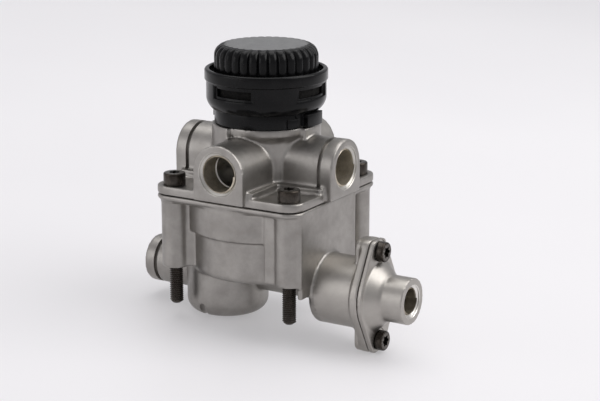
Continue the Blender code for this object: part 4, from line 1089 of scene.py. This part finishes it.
def silencer_cap():
    """The ribbed cap, lofted from its foot over the shoulder to the bare flat top."""
    shoulder_z = CAP_TOP_Z - CAP_SHOULDER
    levels = [(CAP_R, CAP_FOOT_Z + CAP_FOOT_LAP, RIB_DEPTH), (CAP_R, shoulder_z, RIB_DEPTH)]
    for step in range(1, QUARTER_STEPS + 1):
        turn = math.radians(90 * step / QUARTER_STEPS)
        levels.append((CAP_TOP_R + (CAP_R - CAP_TOP_R) * math.cos(turn),
                       shoulder_z + CAP_SHOULDER * math.sin(turn), RIB_DEPTH))
    levels.append((CAP_TOP_R - CAP_TOP_EDGE, CAP_TOP_Z, 0.0))
    samples = RIB_COUNT * RIB_SAMPLES
    shape = bmesh.new()
    rings = []
    for base, height, depth in levels:
        row = []
        for index in range(samples):
            angle = 2 * math.pi * index / samples
            radius = rib_radius(base, angle, depth)
            row.append(shape.verts.new((radius * math.cos(angle) * MM,
                                        radius * math.sin(angle) * MM, height * MM)))
        rings.append(row)
    for lower, upper in zip(rings, rings[1:]):
        for index in range(samples):
            after = (index + 1) % samples
            shape.faces.new((lower[index], lower[after], upper[after], upper[index]))
    shape.faces.new(rings[-1])
    shape.faces.new(list(reversed(rings[0])))
    mesh = bpy.data.meshes.new("cap_moulding")
    shape.to_mesh(mesh)
    shape.free()
    finishes = (BLACK, CAP_TOP_PAINTED_REFLECTION)
    cap = finish_with(mesh_object("cap_moulding", mesh), *finishes)
    # Faces of the flat top take the grey copy of the black plastic, a painted reflection
    for face in cap.data.polygons:
        if face.center.z > (CAP_TOP_Z - CAP_FLAT) * MM:
            face.material_index = finishes.index(CAP_TOP_PAINTED_REFLECTION)
    foot = cylinder("foot", CAP_FOOT_R, CAP_FOOT_Z, CAP_FOOT_Z + CAP_FOOT_HEIGHT, FINE)
    hollow = cylinder("hollow", CAP_INNER_R, CAP_FOOT_Z - OVERCUT, shoulder_z, FINE)
    cap = combine(cap, [painted(foot, finishes, BLACK)], "UNION")
    cap = combine(cap, [painted(hollow, finishes, BLACK)], "DIFFERENCE")
    shown(cap, "housing", "silencer_cap")


def coil_spring():
    """The poppet's spring, coiled between the ends of its CAD node. In the valve it shortens
    towards its upper end as the poppet rises.
    """
    low = SPRING_LOW[2] + SPRING_WIRE_R
    high = SPRING_HIGH[2] - SPRING_WIRE_R
    curve = bpy.data.curves.new("poppet_spring", "CURVE")
    curve.dimensions = "3D"
    curve.bevel_depth = SPRING_WIRE_R * MM
    curve.bevel_resolution = WIRE_STEPS
    curve.use_fill_caps = True
    count = int(SPRING_TURNS * SPRING_STEPS) + 1
    spline = curve.splines.new("POLY")
    spline.points.add(count - 1)
    for index, point in enumerate(spline.points):
        share = index / (count - 1)
        angle = share * SPRING_TURNS * 2 * math.pi
        point.co = (SPRING_R * math.cos(angle) * MM, SPRING_R * math.sin(angle) * MM,
                    (low + (high - low) * share) * MM, 1.0)
    coil = finish_with(settle(mesh_object("poppet_spring", curve)), WIRE)
    shown(coil, "housing", "valve_spring")
    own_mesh(coil)


def repaint():
    """Better finishes for the inner CAD nodes, which stay as they are."""
    finishes = {"relay_piston": INNER, "valve_poppet": INNER, "valve_guide": INNER,
                "retaining_ring": WIRE, "silencer_mesh": FIBRE,
                "piston_o_ring": RUBBER, "poppet_seal": RUBBER, "guide_o_ring": RUBBER,
                "stem_o_ring": RUBBER, "housing_o_ring": RUBBER, "check_cover_o_ring": RUBBER,
                "check_shuttle": RUBBER}
    for name, material in finishes.items():
        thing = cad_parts[name]
        for place in thing.material_slots:
            place.material = material


def floor_material():
    """Pale and slightly mottled. What the camera and shiny surfaces see of it glows a little."""
    made = bpy.data.materials.new("pale_ground")
    made.use_nodes = True
    tree = made.node_tree
    shader = tree.nodes["Principled BSDF"]
    coords = node(tree, "ShaderNodeTexCoord")
    cloud = noise(tree, coords, scale=3.0, detail=2.0, rough=0.5)
    tone = ramp(tree, cloud, "Fac", FINE_STOPS, FLOOR_COLOURS)
    link(tree, tone, "Color", shader, "Base Color")
    path = node(tree, "ShaderNodeLightPath")
    shiny = node(tree, "ShaderNodeMath", operation="ADD")
    link(tree, path, "Is Glossy Ray", shiny, 0)
    link(tree, path, "Is Transmission Ray", shiny, 1)
    seen = node(tree, "ShaderNodeMath", operation="ADD", use_clamp=True)
    link(tree, path, "Is Camera Ray", seen, 0)
    link(tree, shiny, "Value", seen, 1)
    pale = node(tree, "ShaderNodeMath", operation="MULTIPLY")
    link(tree, seen, "Value", pale, 0)
    pale.inputs[1].default_value = FLOOR_GLOW
    link(tree, pale, "Value", shader, "Emission Strength")
    shader.inputs["Emission Color"].default_value = FLOOR_GLOW_TINT
    gloss = ramp(tree, cloud, "Fac", FINE_STOPS, FLOOR_ROUGH)
    link(tree, gloss, "Color", shader, "Roughness")
    return made


def stage():
    """A pale sweep that stays just under the bowl and the flange's lower lobe."""
    left = Vector((BOWL_X - BOWL_RECESS_R, 0, BOWL_LOW_Z - FLOOR_DROP))
    right = Vector((FLANGE_FACE_X + ROOT, 0, LOWER_LOW[2] - FLOOR_DROP_RIGHT))
    slope = math.atan2(right.z - left.z, right.x - left.x)
    shape = bmesh.new()
    rows = []
    profile = [(FLOOR_FRONT, 0.0), (FLOOR_BACK, 0.0)]
    for step in range(1, QUARTER_STEPS + 1):
        turn = math.radians(90 * step / QUARTER_STEPS)
        profile.append((FLOOR_BACK + SWEEP_R * math.sin(turn),
                        SWEEP_R - SWEEP_R * math.cos(turn)))
    profile.append((FLOOR_BACK + SWEEP_R, SWEEP_TOP))
    for reach, height in profile:
        rows.append([shape.verts.new((side * FLOOR_HALF_WIDTH, reach, height))
                     for side in (-1, 1)])
    for before, after in zip(rows, rows[1:]):
        shape.faces.new((before[0], before[1], after[1], after[0]))
    mesh = bpy.data.meshes.new("ground")
    shape.to_mesh(mesh)
    shape.free()
    mesh.shade_smooth()
    mesh.materials.append(floor_material())
    ground = bpy.data.objects.new("ground", mesh)
    bpy.context.scene.collection.objects.link(ground)
    tilt = Vector((-math.sin(slope), 0, math.cos(slope))).to_track_quat("Z", "Y")
    turn = Quaternion(Vector((0, 0, 1)), math.radians(CAMERA_AZIMUTH))
    ground.rotation_mode = "QUATERNION"
    ground.rotation_quaternion = tilt @ turn
    ground.location = (left.x * MM, 0, left.z * MM)


def area_light(name, place, size, power, tint, target=LAMP_TARGET):
    """A flat lamp, placed in metres and aimed at a point."""
    data = bpy.data.lights.new(name, "AREA")
    data.shape = "RECTANGLE"
    data.size, data.size_y = size
    data.energy = power
    data.color = tint
    lamp = bpy.data.objects.new(name, data)
    bpy.context.scene.collection.objects.link(lamp)
    lamp.location = place
    aim = Vector(target) - Vector(place)
    lamp.rotation_euler = aim.to_track_quat("-Z", "Y").to_euler()


def lights():
    """Two soft lamps from above, two weak ones and a pale world."""
    area_light("overhead", (-0.25, 0.30, 1.60), (1.6, 1.4), 14.0, (1.0, 0.995, 0.985))
    area_light("key_right", (1.00, 0.40, 0.95), (1.2, 1.2), 13.0, (1.0, 0.99, 0.98))
    area_light("left_front", (-0.70, -1.10, 0.45), (1.0, 0.8), 2.6, (1.0, 1.0, 1.0))
    area_light("back_wash", (0.10, 0.60, 1.30), (1.6, 0.5), 3.0, (1.0, 1.0, 1.0),
               (-1.0, 1.9, 0.6))
    world = bpy.data.worlds.new("studio")
    bpy.context.scene.world = world
    world.use_nodes = True
    back = world.node_tree.nodes["Background"]
    back.inputs["Color"].default_value = WORLD_TINT
    back.inputs["Strength"].default_value = WORLD_STRENGTH


def camera():
    """The camera of the photograph."""
    data = bpy.data.cameras.new("photo_camera")
    data.sensor_width = CAMERA_SENSOR
    data.lens = CAMERA_LENS
    data.clip_start = CLIP_NEAR
    data.clip_end = CLIP_FAR
    thing = bpy.data.objects.new("photo_camera", data)
    bpy.context.scene.collection.objects.link(thing)
    thing.location = [v * MM for v in CAMERA_PLACE]
    azimuth = math.radians(CAMERA_AZIMUTH)
    elevation = math.radians(CAMERA_ELEVATION)
    back = Vector((math.sin(azimuth) * math.cos(elevation),
                   -math.cos(azimuth) * math.cos(elevation), math.sin(elevation)))
    thing.rotation_mode = "QUATERNION"
    thing.rotation_quaternion = (-back).to_track_quat("-Z", "Y")
    bpy.context.scene.camera = thing
    bpy.context.scene.view_settings.view_transform = "Standard"


upper_housing()
lower_housing()
check_valve_cover()
port_threads()
housing_bolts()
cover_screws()
silencer_base()
silencer_body()
silencer_cap()
coil_spring()
repaint()
stage()
lights()
camera()
bpy.data.collections.remove(SCRAP)
